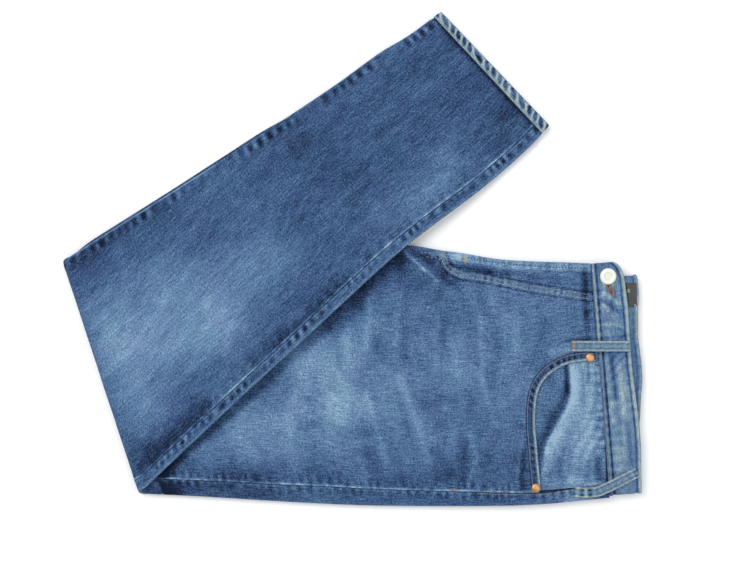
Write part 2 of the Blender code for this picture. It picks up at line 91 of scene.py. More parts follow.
def smoothPath(points, count):
    # A smooth curve through the points, evenly spaced along it
    knots = np.array(points, float)
    ends = np.vstack([2 * knots[0] - knots[1], knots, 2 * knots[-1] - knots[-2]])
    dense = []
    for before, here, there, after in zip(ends, ends[1:], ends[2:], ends[3:]):
        reach = np.linalg.norm(there - here)
        leave, arrive = unit(there - before) * reach, unit(after - here) * reach
        for t in np.linspace(0, 1, 24, endpoint=False):
            dense.append((2 * t**3 - 3 * t**2 + 1) * here + (t**3 - 2 * t**2 + t) * leave
                         + (3 * t**2 - 2 * t**3) * there + (t**3 - t**2) * arrive)
    return evenly(np.vstack(dense + [knots[-1]]), count)


def beside(line, distance):
    # A line moved sideways, to its left when the distance is positive
    return line[:, :2] + distance * leftward(headings(line))


def leftOf(x, y, start, end):
    (x0, y0), (x1, y1) = start, end
    return ((x1 - x0) * (y - y0) - (y1 - y0) * (x - x0)) / max(math.hypot(x1 - x0, y1 - y0), 1e-6)


def softLines(x, y, rows):
    # Soft ridges, troughs or spots: x and y of both ends, half width, height
    total = 0.0
    for x0, y0, x1, y1, halfWidth, height in rows:
        length = max(math.hypot(x1 - x0, y1 - y0), 1e-6)
        along = ((x - x0) * (x1 - x0) + (y - y0) * (y1 - y0)) / length
        across = leftOf(x, y, (x0, y0), (x1, y1))
        pastEnd = np.maximum(np.maximum(-along, along - length), 0)
        total = total + height * np.exp(-(across**2 + pastEnd**2) / (2 * (0.6 * halfWidth) ** 2))
    return total


def patches(a, b, sizeA, sizeB, seed):
    # Smooth random values from -1 to 1, in patches of that size
    lattice = np.random.default_rng(seed).uniform(-1, 1, (89, 89))
    a, b = a / sizeA, b / sizeB
    i, j = np.floor(a).astype(int), np.floor(b).astype(int)
    s, t = smoothStep(a - i), smoothStep(b - j)
    here = lattice[i % 89, j % 89] * (1 - s) + lattice[(i + 1) % 89, j % 89] * s
    there = lattice[i % 89, (j + 1) % 89] * (1 - s) + lattice[(i + 1) % 89, (j + 1) % 89] * s
    return here * (1 - t) + there * t


def besideLine(line, x, y):
    # How far along a line each point lies, and how far to its left
    shape = np.shape(x)
    x, y = np.ravel(x), np.ravel(y)
    near = np.argmin((x[:, None] - line[:, 0]) ** 2 + (y[:, None] - line[:, 1]) ** 2, axis=1)
    wayX, wayY = headings(line)[near].T
    dx, dy = x - line[near, 0], y - line[near, 1]
    aside, onward = wayX * dy - wayY * dx, wayX * dx + wayY * dy
    past = np.where((near == 0) | (near == len(line) - 1), onward, 0)
    distance = np.copysign(np.hypot(aside, past), aside)
    return (runs(line)[near] + onward).reshape(shape), distance.reshape(shape)


def puckers(along, aside, spacing, reach, seed, peak=0.0):
    # The drawn-up cloth beside a row of stitches: uneven ridges across it, that die away
    sway = 0.55 * patches(along, 0, 2.6 * spacing, 1, seed + 500)
    beat = np.cos(2 * math.pi * (along / spacing + sway))
    uneven = 0.65 + 0.95 * patches(along, aside, 1.6 * spacing, 1.6 * reach, seed)
    return (beat - 0.2) * uneven * bell(aside, peak, reach)


# The fold: outlines of the stacked legs, and the layers on each line across them

fold = dict(
    kneeRadius=9.0,  # outside of the fold at the knee
    shinStack=8.7,  # the four layers of the lower legs
    hemLead=10.0,
    hemStack=11.2,
    hemWidth=11.5,
    slack=0.25,  # half the gap between the two legs at their edges
    seamGap=0.3,
    underlap=6.0,
    kneeUnderlap=12.0,
    thighEnd=0.968,  # share of the way to the knee where the left leg ends inside the fold
    peek=2.6,  # how far the left shin shows past the right one
    shinSeam=12.0,
    slope=78.0,  # over which the shins come down to the floor past the thigh
)
thighInnerEdge = ((244, -5), (213, -4), (182, -3), (151, -1), (120, 4), (90, 9), (54, 14), (-299, -3))
thighSideEdge = (
    (264, -246), (229, -249.5), (198, -252.5), (151, -254.5), (28, -254.5), (-49, -251.5), (-158, -245),
    (-220.5, -242))
shinInnerEdge = ((-299, -3), (-209, 55), (-106, 121.5), (-18.5, 179.5), (28, 213), (58, 231), (90.5, 255))
shinSideEdge = (
    (-220.5, -242), (-138, -164), (-54.6, -87), (52, 10.5), (136, 75), (182, 115.5), (202.5, 137.5))
thighHeight = ((-320, 9.0), (40, 9.2), (130, 11.0), (200, 12.4), (264, 13.2))
sideSeam = ((0.0, 15.5), (0.07, 13.5), (0.14, 12.0), (0.3, 15.0), (0.6, 18.5), (1.0, 17.0))

kneeInner = np.array(thighInnerEdge[-1], float)
kneeSide = np.array(thighSideEdge[-1], float)
kneeAlong = unit(kneeSide - kneeInner)
kneeIn = leftward(kneeAlong)


def clearOfKnee(points):
    line = smoothPath(points, 400)
    return evenly(line[(line - kneeInner) @ kneeIn >= fold["kneeRadius"]], 400)


thighInner = clearOfKnee(thighInnerEdge)
thighSide = clearOfKnee(thighSideEdge)
shinInner = clearOfKnee(shinInnerEdge[::-1])[::-1]
shinSide = clearOfKnee(shinSideEdge[::-1])[::-1]
thighLength, shinLength = runs(thighSide)[-1], runs(shinSide)[-1]
hemShare = 1 - fold["hemWidth"] / shinLength


def atShare(line, share):
    places = np.linspace(0, 1, len(line))
    return np.array([np.interp(share, places, line[:, k]) for k in range(2)])


def thighLevel(x):
    return lookUp(thighHeight, x)


def shinBase(x, y):
    # What the lower legs lie on: the thigh, and past it a slope down to the floor
    past = leftOf(x, y, thighInnerEdge[-1], thighInnerEdge[-2])
    return thighLevel(x) * (1 - smoothStep(past / fold["slope"]))


def underShin(x, y):
    return smoothStep(leftOf(x, y, shinSideEdge[0], shinSideEdge[3]) / 14 + 1)


class Station:
    # One line across the folded legs, with its layers stacked on it
    def __init__(self, inner, side, kind, share=0.0, angle=0.0, stack=None):
        self.inner = np.array(inner, float)
        self.kind, self.share, self.angle = kind, share, angle
        self.stack = stack or fold["shinStack"]
        self.width = float(np.linalg.norm(np.array(side) - self.inner))
        self.across = (np.array(side) - self.inner) / self.width

    def plan(self, w):
        return self.inner + np.multiply.outer(np.atleast_1d(w), self.across)

    def height(self, w):
        spot = self.plan(w)
        return thighLevel(spot[:, 0]) if self.kind == "thigh" else np.full(len(spot), self.stack)

    def outer(self, w, depth):
        # A point that far in from the layer that lies outermost round the knee
        spot = self.plan(w)
        depth = depth + np.zeros(len(spot))
        if self.kind == "thigh":
            z = depth
        elif self.kind == "shin":
            z = shinBase(spot[:, 0], spot[:, 1]) + self.stack - depth
        else:
            reach = fold["kneeRadius"] - depth
            spot = spot + np.multiply.outer(fold["kneeRadius"] - reach * math.cos(self.angle), kneeIn)
            z = fold["kneeRadius"] + reach * math.sin(self.angle)
        return np.column_stack([spot, z])

    def inmost(self, w, depth):
        # The same from the layer that lies innermost at the knee
        return self.outer(w, self.height(w) - depth)

    def quarter(self, w):
        return float(self.height(w)[0]) / 4

    def seam(self):
        return float(lookUp(sideSeam, self.share)) if self.kind == "thigh" else fold["shinSeam"]


def thighStation(share):
    return Station(atShare(thighInner, share), atShare(thighSide, share), "thigh", share)


def shinStation(share, stack=None):
    growth = ((0, fold["shinStack"]), (0.7, fold["shinStack"]), (0.96, fold["hemLead"]))
    return Station(atShare(shinInner, share), atShare(shinSide, share), "shin", share,
                   stack=stack or float(lookUp(growth, share)))


def kneeStation(angle):
    up = (math.sin(angle) + 1) / 2
    ends = []
    for low, high, corner in ((thighInner[-1], shinInner[0], kneeInner),
                              (thighSide[-1], shinSide[0], kneeSide)):
        slide = (1 - up) * ((low - corner) @ kneeAlong) + up * ((high - corner) @ kneeAlong)
        ends.append(corner + kneeAlong * slide)
    return Station(ends[0], ends[1], "knee", angle=angle)


def edgeTurn(station, atSide, inset=0.0, shift=0.0):
    # Round the edge of one leg, from its far layer to its near one: distances and depths
    edge = station.width if atSide else 0.0
    inward = -1 if atSide else 1
    middle = station.quarter(edge)
    r = middle - fold["slack"]
    turn = np.radians(np.linspace(90, -90, 9))
    return (edge + inward * (r - shift - (r - inset) * np.cos(turn)), middle + (r - inset) * np.sin(turn))


def frontColumns(station, count, fine=0.0):
    # From under the inner edge, round it and over to the seam, closer together for the first stretch
    w, depth = edgeTurn(station, False)
    tail = np.linspace(fold["underlap"], w[0], 3, endpoint=False)
    seam = station.width - station.seam() - fold["seamGap"] / 2
    near = w[-1] + np.array([0.7, 1.5, 2.5, 3.6, 4.8, 6.0, 7.2, 8.2, 9.2, 10.1])
    if fine:
        near = np.concatenate([near, w[-1] + np.arange(11.1, fine, 1.1)])
    first, last = near[-1] + 1.5, seam - 9.0
    lip = seam - np.array([7.8, 6.7, 5.7, 4.8, 4.0, 3.2, 2.5, 1.9, 1.4, 0.95, 0.55, 0.25, 0.0])
    over = np.concatenate([near, np.linspace(first, last, count), lip])
    overDepth = depth[-1] * (1 - smoothStep((over - w[-1]) / 3))
    return np.concatenate([tail, w, over]), np.concatenate([np.full(3, depth[0]), depth, overDepth])


def backColumns(station):
    # From the seam over to the side edge, round it and under
    w, depth = edgeTurn(station, True)
    seam = station.width - station.seam() + fold["seamGap"] / 2
    lip = seam + np.array([0.0, 0.25, 0.6, 1.05, 1.6, 2.3, 3.1])
    over = np.concatenate([lip, np.linspace(seam + 4.0, w[-1] - 0.4, 8)])
    overDepth = depth[-1] * smoothStep((over - w[-1] + 3) / 3)
    tail = np.linspace(w[0], station.width - fold["underlap"], 4)[1:]
    return (np.concatenate([over, w[::-1], tail]),
            np.concatenate([overDepth, depth[::-1], np.full(3, depth[0])]))


class Grid:
    # A cloth surface as rows of points along the leg, with what its relief, wear and painted shade are worked
    # out from
    def __init__(self, stations, columns, side, turned=False, seamLast=True):
        made = [columns(station) for station in stations]
        self.w = np.array([at for at, _ in made])
        self.points = np.array([getattr(s, side)(at, depth) for s, (at, depth) in zip(stations, made)])
        self.x, self.y = self.points[..., 0], self.points[..., 1]

        def inRows(values):
            return np.array(values)[:, None] + 0 * self.w

        self.width = inRows([s.width for s in stations])
        self.seam = inRows([s.width - s.seam() for s in stations])
        self.share = inRows([s.share for s in stations])
        self.along = inRows(runs(self.points[:, self.points.shape[1] // 2]))
        self.across = runs(self.points.swapaxes(0, 1)).T
        if seamLast:  # so that the yarns run along the seam
            self.across -= self.across[:, -1:]
        self.turned = turned

    def normals(self):
        down = np.gradient(self.points, axis=0)
        over = np.gradient(self.points, axis=1)
        normal = np.cross(down, over)
        normal /= np.linalg.norm(normal, axis=2)[..., None]
        return -normal if self.turned else normal

    def raised(self, relief):
        return self.points + self.normals() * relief[..., None]


# Meshes

def gridFaces(rows, columns, closed=False, turned=False):
    i, j = np.meshgrid(np.arange(rows - 1), np.arange(columns if closed else columns - 1), indexing="ij")
    k = (j + 1) % columns
    corners = [i * columns + j, (i + 1) * columns + j, (i + 1) * columns + k, i * columns + k]
    faces = np.stack([c.ravel() for c in corners], axis=1)
    return faces[:, ::-1] if turned else faces


def facingOut(points, faces):
    # The faces of a closed shape, turned round if they point inwards
    volume = 0.0
    for face in faces:
        a = points[face[0]]
        for b, c in zip(face[1:-1], face[2:]):
            volume += np.dot(a, np.cross(points[b], points[c]))
    return faces if volume > 0 else [tuple(reversed(face)) for face in faces]


def makeMesh(name, points, faces, across=None, along=None, wear=None):
    points = np.asarray(points, float).reshape(-1, 3)
    faces = [tuple(int(v) for v in face) for face in faces]
    mesh = bpy.data.meshes.new(name)
    mesh.from_pydata((points * mm).tolist(), [], faces)
    if across is not None:
        uv = np.column_stack([np.ravel(across), np.ravel(along)]) * mm
        corners = np.empty(len(mesh.loops), np.int32)
        mesh.loops.foreach_get("vertex_index", corners)
        layer = mesh.uv_layers.new(name="cloth")
        layer.data.foreach_set("uv", uv[corners].astype(np.float32).ravel())
        worn = mesh.attributes.new("wear", "FLOAT", "POINT")
        worn.data.foreach_set("value", np.ravel(wear).astype(np.float32))
    mesh.polygons.foreach_set("use_smooth", [True] * len(mesh.polygons))
    obj = bpy.data.objects.new(name, mesh)
    bpy.context.scene.collection.objects.link(obj)
    return obj


def dress(obj, material, slot, *nodes):
    # Gives a piece its material and body, and hides the solids that it stands for; its slot is not used
    obj.data.materials.append(material)
    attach(obj, "root")
    if nodes:
        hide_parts(*nodes)
    return obj


shownTops = []  # points and faces of the cloth that stitches are sewn through


def sheet(name, points, faces, across, along, wear, wall, material, slot, *nodes):
    # A cloth of that thickness, below the points that are given
    shownTops.append((points, faces))
    obj = makeMesh(name, points, faces, across, along, wear)
    cloth = obj.modifiers.new("Cloth", "SOLIDIFY")
    cloth.thickness, cloth.offset = wall * mm, -1.0
    return dress(obj, material, slot, *nodes)


def upward(points, faces):
    # The faces of a sheet, turned over if they look down
    a, b, c = points[faces[len(faces) // 2][:3]]
    return faces[:, ::-1] if np.cross(b - a, c - a)[2] < 0 else faces


def legPanel(name, grid, relief, wear, wall, material, node, keep=None):
    points = grid.raised(relief).reshape(-1, 3)
    points[:, 2] = np.maximum(points[:, 2], 0)
    faces = gridFaces(*grid.w.shape, turned=grid.turned)
    used = np.arange(len(points))
    if keep:
        points, faces, used = keep(points, faces)
    cloth = [values.ravel()[used] for values in (grid.across, grid.along, wear)]
    return sheet(name, points, faces, *cloth, wall, material, "denim", node)


def sweep(name, sections, material, slot, *nodes, sewable=True):
    # A closed solid through closed sections of points with their wear and painted shade, capped at both ends
    sections = np.asarray(sections, float)
    rows, columns = sections.shape[:2]
    rings = sections[..., :3]
    points = rings.reshape(-1, 3)
    faces = gridFaces(rows, columns, closed=True).tolist()
    faces.append(list(range(columns)))
    faces.append(list(reversed(range((rows - 1) * columns, rows * columns))))
    faces = facingOut(points, faces)
    along = runs(rings.mean(axis=1))[:, None] + np.zeros((rows, columns))
    obj = makeMesh(name, points, faces, runs(rings.swapaxes(0, 1)).T, along, sections[..., 3])
    if sewable:
        shownTops.append((points, faces))
    return dress(obj, material, slot, *nodes)


# Materials

def tint(red, green, blue):
    # A colour as a screen shows it, from 0 to 255, as the linear colour of a shader
    shown = np.array([red, green, blue]) / 255
    linear = np.where(shown <= 0.04045, shown / 12.92, ((shown + 0.055) / 1.055) ** 2.4)
    return (*[float(c) for c in linear], 1.0)


class Value:
    # A shader socket that takes part in arithmetic
    def __init__(self, finish, socket):
        self.finish, self.socket = finish, socket

    def math(self, operation, first, second):
        return self.finish.node("ShaderNodeMath", {"operation": operation}, {0: first, 1: second})

    def __add__(self, other):
        return self.math("ADD", self, other)

    def __sub__(self, other):
        return self.math("SUBTRACT", self, other)

    def __rsub__(self, other):
        return self.math("SUBTRACT", other, self)

    def __mul__(self, other):
        return self.math("MULTIPLY", self, other)

    __radd__, __rmul__ = __add__, __mul__


class Finish:
    # A material, and the one way that nodes are added to it
    def __init__(self, name, **constants):
        self.material = bpy.data.materials.new(name)
        self.material.use_nodes = True
        self.tree = self.material.node_tree
        self.shader = self.tree.nodes["Principled BSDF"]
        for name, value in constants.items():
            self.shader.inputs[name.replace("_", " ")].default_value = value

    def node(self, kind, settings=None, sockets=None, out=0):
        made = self.tree.nodes.new(kind)
        for name, value in (settings or {}).items():
            if name == "stops":
                while len(made.color_ramp.elements) < len(value):
                    made.color_ramp.elements.new(1.0)
                for element, (place, colour) in zip(made.color_ramp.elements, value):
                    element.position, element.color = place, colour
            else:
                setattr(made, name, value)
        for name, value in (sockets or {}).items():
            if isinstance(value, Value):
                self.tree.links.new(value.socket, made.inputs[name])
            else:
                made.inputs[name].default_value = value
        return Value(self, made.outputs[out])

    def feed(self, **links):
        for name, value in links.items():
            self.tree.links.new(value.socket, self.shader.inputs[name.replace("_", " ")])
        return self.material


def noise(finish, place, scale, detail=2.0, roughness=0.5, **settings):
    return finish.node("ShaderNodeTexNoise", settings, {
        "Vector": place, "Scale": scale, "Detail": detail, "Roughness": roughness})


def mixed(finish, factor, first, second, blend="MIX"):
    return finish.node("ShaderNodeMix", {"data_type": "RGBA", "blend_type": blend}, {
        "Factor": factor, "A": first, "B": second}, out="Result")


def bumped(finish, height, strength, distance):
    return finish.node("ShaderNodeBump", sockets={
        "Height": height, "Strength": strength, "Distance": distance * mm})


studioGain = 1.38  # how much lighter than its own colour the studio light shows a cloth


def seen(red, green, blue):
    # The colour of a cloth that shows as that in the studio light
    return (*[c / studioGain for c in tint(red, green, blue)[:3]], 1.0)


denimLook = dict(
    stops=((0.00, seen(18, 31, 54)), (0.15, seen(36, 57, 88)), (0.30, seen(55, 82, 121)),
           (0.45, seen(75, 107, 147)), (0.60, seen(97, 130, 168)), (0.75, seen(119, 152, 187)),
           (0.90, seen(145, 176, 205)), (1.00, seen(168, 197, 219))),
    warp=(1.3, 14.0, 0.62),  # width and length of a dark or light yarn, and how much it shows
    weft=(7.0, 1.3, 0.28),
    speck=(1.5, 1.9, 0.86),
    cloud=(30.0, 42.0, 0.12),
    hues=((1.05, 0.975, 1.025, 1), (0.955, 1.012, 0.99, 1)),  # violet where it kept its dye, teal where not
    hueSize=46.0,
    twill=1.5,  # spacing of the twill's ribs
    grain=0.35,  # depth of the yarns
)


def denim(name, look, weft=1.0):
    finish = Finish(name, Roughness=0.9, Specular_IOR_Level=0.08, Sheen_Weight=0.02, Sheen_Roughness=0.6)
    cloth = finish.node("ShaderNodeUVMap", {"uv_map": "cloth"})
    wear = finish.node("ShaderNodeAttribute", {"attribute_name": "wear"}, out="Fac")

    def yarns(across, along, detail, shift):
        place = finish.node("ShaderNodeMapping", sockets={
            "Vector": cloth, "Location": (shift, shift * 1.7, 0),
            "Scale": (1 / (across * mm), 1 / (along * mm), 1)})
        return noise(finish, place, 1.0, detail, 0.6, noise_dimensions="2D") - 0.5

    warp = yarns(*look["warp"][:2], 3.0, 3.1)
    across = yarns(*look["weft"][:2], 3.0, 7.7)
    speck = yarns(*look["speck"][:2], 2.0, 11.3)
    cloud = yarns(*look["cloud"][:2], 3.0, 5.9)
    tone = (wear + warp * look["warp"][2] + across * (look["weft"][2] * weft) + speck * look["speck"][2]
            + cloud * look["cloud"][2])
    colour = finish.node("ShaderNodeValToRGB", {"stops": look["stops"]}, {"Fac": tone})
    drift = yarns(look["hueSize"], look["hueSize"], 2.0, 17.9)
    hue = mixed(finish, drift * 2.2 + wear * 0.7 + 0.12, *look["hues"])
    colour = mixed(finish, 1.0, colour, hue, "MULTIPLY")
    ribs = finish.node("ShaderNodeMapping", sockets={
        "Vector": cloth, "Scale": (1 / (look["twill"] * mm), 0.6 / (look["twill"] * mm), 1)})
    twill = finish.node("ShaderNodeTexWave", {"bands_direction": "DIAGONAL"}, {
        "Vector": ribs, "Scale": 0.32, "Distortion": 1.2, "Detail": 1.0, "Detail Scale": 2.0}, out="Fac")
    height = warp * 0.8 + speck * 0.7 + across * 0.5 + twill * 0.25
    rough = wear * 0.06 + speck * 0.1 + 0.84
    return finish.feed(Base_Color=colour, Normal=bumped(finish, height, 0.6, look["grain"]), Roughness=rough)


legDenim = denim("worn denim", denimLook, weft=0.7)
thighDenim = denim("worn denim of the thigh", denimLook, weft=1.3)
creamStops = denimLook["stops"][:5] + ((0.75, seen(120, 150, 178)), (0.90, seen(150, 173, 188)),
                                       (1.00, seen(184, 200, 204)))
trimDenim = denim("denim of the trim", dict(
    denimLook, stops=creamStops, warp=(1.2, 8.0, 0.50), speck=(1.6, 2.2, 0.56)), weft=1.1)
strapDenim = denim("denim of the belt loops", dict(
    denimLook, stops=creamStops, warp=(1.2, 5.0, 0.40), speck=(1.6, 2.2, 0.60),
    hues=((1.04, 1.0, 0.97, 1), (1.0, 1.01, 0.95, 1))))


def threadFinish(name, colour, dark):
    finish = Finish(name, Roughness=0.6, Sheen_Weight=0.2)
    place = finish.node("ShaderNodeTexCoord", out="Object")
    shade = mixed(finish, noise(finish, place, 90.0, 3.0) * 1.6 - 0.3, dark, colour)
    ply = noise(finish, place, 2400.0, 1.0)
    return finish.feed(Base_Color=shade, Normal=bumped(finish, ply, 0.5, 0.15))


ecruThread, tanThread, orangeThread, navyThread, yellowThread = [
    threadFinish(name + " thread", tint(*colour), tint(*dark)) for name, colour, dark in (
        ("ecru", (178, 182, 148), (104, 112, 100)), ("tan", (152, 148, 118), (82, 82, 74)),
        ("orange", (188, 122, 58), (120, 70, 36)), ("navy", (34, 44, 64), (18, 26, 42)),
        ("yellow", (206, 180, 92), (140, 116, 60)))]


# Hidden layers: everything inside the folds, whose layered edges show round the outside

inside = dict(cover=1.6, margin=8.0, pocketDrop=1.8, dip=1.7, thighRows=70, shinRows=66)


def edgeLayers(station, atSide, outerWrapped, innerWrapped, peek=0.0):
    sets = []
    for place, wrapped, shift in ((station.outer, outerWrapped, 0.0), (station.inmost, innerWrapped, peek)):
        w, depth = edgeTurn(station, atSide, inside["cover"] if wrapped else 0.0, shift)
        inward = -1 if atSide else 1
        edge = station.width if atSide else 0.0
        reach = fold["underlap"] + 0.6 if outerWrapped or innerWrapped else abs(w[0] - edge) + 2
        sets.append(np.vstack([place(edge + inward * reach, depth[0]), place(w, depth)]))
    return np.vstack([sets[0][::-1], sets[1]])


def hiddenSection(station, outerDepth, inmostDepth, outerWrapped, innerWrapped, peek=0.0):
    reach = np.linspace(inside["margin"], station.width - inside["margin"], 14)
    outerRun = station.outer(reach, outerDepth)
    inmostRun = station.inmost(reach[::-1], inmostDepth)
    side = edgeLayers(station, True, outerWrapped, innerWrapped)
    inner = edgeLayers(station, False, outerWrapped, innerWrapped, peek)
    return np.vstack([outerRun, side, inmostRun, inner[::-1]])


def hiddenLayers():
    sections = []
    for share in np.linspace(0, fold["thighEnd"], inside["thighRows"]):
        pocket = inside["pocketDrop"] * float(1 - smoothStep((share - 0.24) / 0.08))
        depth = inside["cover"] + inside["dip"] + pocket
        sections.append(hiddenSection(thighStation(share), 0.0, depth, False, True))
    for share in (fold["thighEnd"] + 0.004, 1.0):
        sections.append(hiddenSection(thighStation(share), inside["cover"], 0.6, True, False))
    for angle in np.radians(np.linspace(-75, 75, 11)):
        sections.append(hiddenSection(kneeStation(angle), inside["cover"], 0.6, True, False))
    for share in np.linspace(0, hemShare - fold["seamGap"] / shinLength, inside["shinRows"]):
        peek = fold["peek"] * float(smoothStep(share / 0.06) * (1 - smoothStep((share - 0.5) / 0.1)))
        sections.append(hiddenSection(shinStation(share), inside["cover"], 0.6, True, False, peek))
    sections = np.array(sections)
    wear = 0.30 + 0.10 * patches(sections[..., 0], sections[..., 1], 22, 22, 5)
    sections = np.concatenate([sections, wear[..., None]], axis=2)
    sweep("hidden_folds", sections, legDenim, "denim", "hidden_layers", sewable=False)


hiddenLayers()
print("hidden layers made")


# Left leg: it faces up on the thigh

thigh = dict(
    rows=262,
    columns=86,
    fineTo=44.0,  # how far from the inner edge its columns stand closer, over the fly
    wall=1.0,
    # Main folds, as on the solids: x and y of both ends, half width, height
    folds=(
        (50, 2, 74, -10, 7, 2.2), (74, -10, 92, -26, 8, 1.3), (98, -10, 141, -18, 5, -1.6),
        (141, -18, 190, -23, 6, -1.2), (240, -36, 242, -84, 5, -1), (222, -92, 196, -98, 6, 0.8),
        (150, -40, 162, -120, 9, 0.9), (118, -60, 122, -150, 8, 0.8), (124, -170, 132, -232, 7, 0.9),
        (60, -50, 48, -130, 9, 0.9), (48, -130, 74, -215, 8, 0.8), (18, -60, 4, -130, 9, 0.7),
        (4, -130, 30, -212, 8, 0.7), (172, -196, 176, -238, 6, 1.1)),
    # Smaller creases
    creases=(
        (53, 8, 66, -5, 2.2, 1.3), (66, -5, 86, -21, 2.4, 1.3), (64, 6, 82, -7, 4, -1.5),
        (80, -4, 98, -17, 4, -1.4), (88, -20, 104, -27, 5, -0.6), (84, -22, 70, -40, 5, 0.4),
        (98, -6, 141, -13.4, 3, -1), (141, -13.4, 193, -21.6, 3.6, -0.8),
        (193, -21.6, 224, -25, 3.6, -0.5), (176, -196, 173, -238, 3.4, -1.2),
        (180, -226, 178, -204, 4, 0.5), (136, -60, 142, -120, 6, -0.3), (200, -50, 204, -92, 7, 0.35),
        (204, -96, 227, -92, 4, 0.8), (210, -88, 224, -84, 3, -0.5)),
    # Whiskers, worn light along ridges or left dark between them: the same columns, but a share of full wear
    whiskers=(
        (28, -21, 17, -42, 4, 0.06), (17, -42, 13, -90, 5, 0.11), (46, -42, 44, -86, 5, 0.07),
        (-8, -80, -8, -168, 7, 0.1), (13, -138, 34, -206, 4, 0.13), (50, -122, 79, -208, 5.5, 0.13),
        (103, -84, 108, -116, 7, 0.08), (110, -118, 112, -160, 5, 0.07), (104, -176, 100, -202, 6, 0.1),
        (131, -60, 133, -125, 3.4, 0.12), (133, -125, 147, -172, 3.4, 0.1), (167, -52, 166, -96, 7, 0.07),
        (155, -58, 156, -116, 4, 0.05), (203, -96, 226, -94, 5, 0.14), (121, -182, 128, -205, 4, 0.09),
        (128, -205, 118, -232, 4, 0.09), (175, -178, 167, -236, 3, 0.11), (88, -60, 84, -120, 4, 0.05),
        (186, -120, 178, -168, 5, 0.05), (-60, -140, -66, -196, 8, 0.06), (53, -78, 53, -100, 7, -0.14),
        (26, -86, 26, -104, 6, -0.08), (93, -66, 92, -87, 5, -0.09), (74, -150, 96, -143, 9, -0.09),
        (116, -188, 113, -232, 5, -0.13), (88, -228, 100, -222, 8, -0.09),
        (46, -145, 58, -180, 3.5, -0.07), (12, -200, 22, -206, 9, -0.08), (-14, -186, 10, -182, 8, -0.06),
        (-40, -128, -40, -172, 9, -0.07), (117, -45, 136, -82, 8, -0.05), (146, -70, 146, -130, 5, -0.05),
        (36, -60, 33, -104, 6, -0.05), (68, -60, 66, -110, 6, -0.05), (92, -120, 88, -170, 5, -0.05)),
    # Broad fading, and painted shade: the shin's shadow along its edge, the dark crotch, the groove beside
    # the fly, the deep crease near the side seam, the recess along the waistband seam and the nook at the
    # knee
    fadesAndShade=(
        (-24, -104, -8, -150, 50, 0.13), (-120, -184, -40, -166, 40, 0.1),
        (112, -110, 150, -120, 60, 0.03), (197, -70, 190, -112, 10, -0.11),
        (-140, -226, 190, -232, 15, -0.13), (20, -30, 90, -40, 26, -0.06), (-22, -68, 46, 0, 15, -0.27),
        (-25, -71, -196, -222, 5.5, -0.22), (64, 7, 84, 1, 6, -0.24), (76, -2, 96, -16, 5, -0.26),
        (92, -21, 106, -27, 6, -0.12), (53, 8, 72, -10, 1.8, 0.3), (72, -10, 88, -23, 2, 0.24),
        (48, 0, 62, -26, 12, -0.14), (99, -6, 141, -13.4, 2.4, -0.3), (141, -13.4, 160, -16, 2.6, -0.22),
        (168, -20, 214, -26, 2.4, -0.09), (150, -9, 226, -17, 2, 0.1), (146, -16, 200, -24, 2.2, 0.08),
        (176, -198, 173, -237, 3.4, -0.22), (238, -12, 240, -56, 3.6, -0.34),
        (240, -56, 242, -82, 4, -0.22), (80, 6, 110, 2, 3, 0.12), (-206, -230, -194, -222, 9, -0.4),
        (-190, -214, -96, -224, 15, -0.16), (-56, -92, -30, -150, 26, 0.13),
        (-110, -170, -60, -160, 24, 0.05), (-70, -212, 60, -208, 24, -0.07),
        (-52, -170, 24, -178, 9, -0.08), (130, -150, 190, -196, 26, -0.06),
        (90, -206, 184, -208, 20, -0.15), (-68, -140, -42, -150, 22, -0.09), (66, 5, 96, -5, 6, -0.1),
        (84, -16, 110, -24, 7, -0.1), (-200, -212, -110, -130, 30, -0.05), (-4, -30, 12, -52, 10, -0.1),
        # Painted shadow lines along both sides of the front belt loop
        (221, -83.2, 242, -83.2, 2.4, -0.3), (222, -96.6, 238, -96.6, 1.8, -0.2)),
)


def thighFolds(x, y):
    return (1 - underShin(x, y)) * softLines(x, y, thigh["folds"])


def edgeFade(grid, near=5, far=8):
    return smoothStep((grid.w - 3) / near) * smoothStep((grid.width - grid.w - 3) / far)


def lipRelief(distance, height):
    # The rolled edge of a panel beside its seam, from the distance to the edge
    rise = height * bell(distance, 1.4, 1.2)
    return rise - 0.55 * bell(distance, 0, 0.45)


def lipWear(distance, along):
    worn = 0.36 + 0.26 * patches(along, 0, 3.6, 1, 19)
    return worn * bell(distance, 1.2, 1.1) - 0.25 * bell(distance, 0, 0.3)


def piping(distance, at, half):
    # A rolled, stitched edge: how far a point lies on its crest, and how far in the groove beside it
    return bell(distance, at, half), bell(distance, at + 2 * half, 0.65 * half)


def backPanel(name, grid, look, material, node):
    # The strip of a leg's back that shows beyond the side seam
    fromSeam, toEdge = np.maximum(grid.w - grid.seam, 0), grid.width - grid.w
    drawn = puckers(grid.along, fromSeam, *look["drawn"])
    relief = look["rise"] * drawn * smoothStep(toEdge / 4) + lipRelief(fromSeam, 0.15)
    wear = look["worn"] + look["drawnWear"] * drawn + 0.3 * lipWear(fromSeam, grid.along)
    wear += 0.08 * patches(grid.along, grid.w, *look["cloud"]) + softLines(grid.x, grid.y, look["fadesAndShade"])
    bright, middle, width = look["edge"]
    wear += bright * bell(toEdge, middle, width)
    return legPanel(name, grid, relief, wear, look["wall"], material, node)


def thighGrid(columns, seamLast=True):
    shares = np.linspace(0, fold["thighEnd"], thigh["rows"])
    return Grid([thighStation(share) for share in shares], columns, "inmost", seamLast=seamLast)


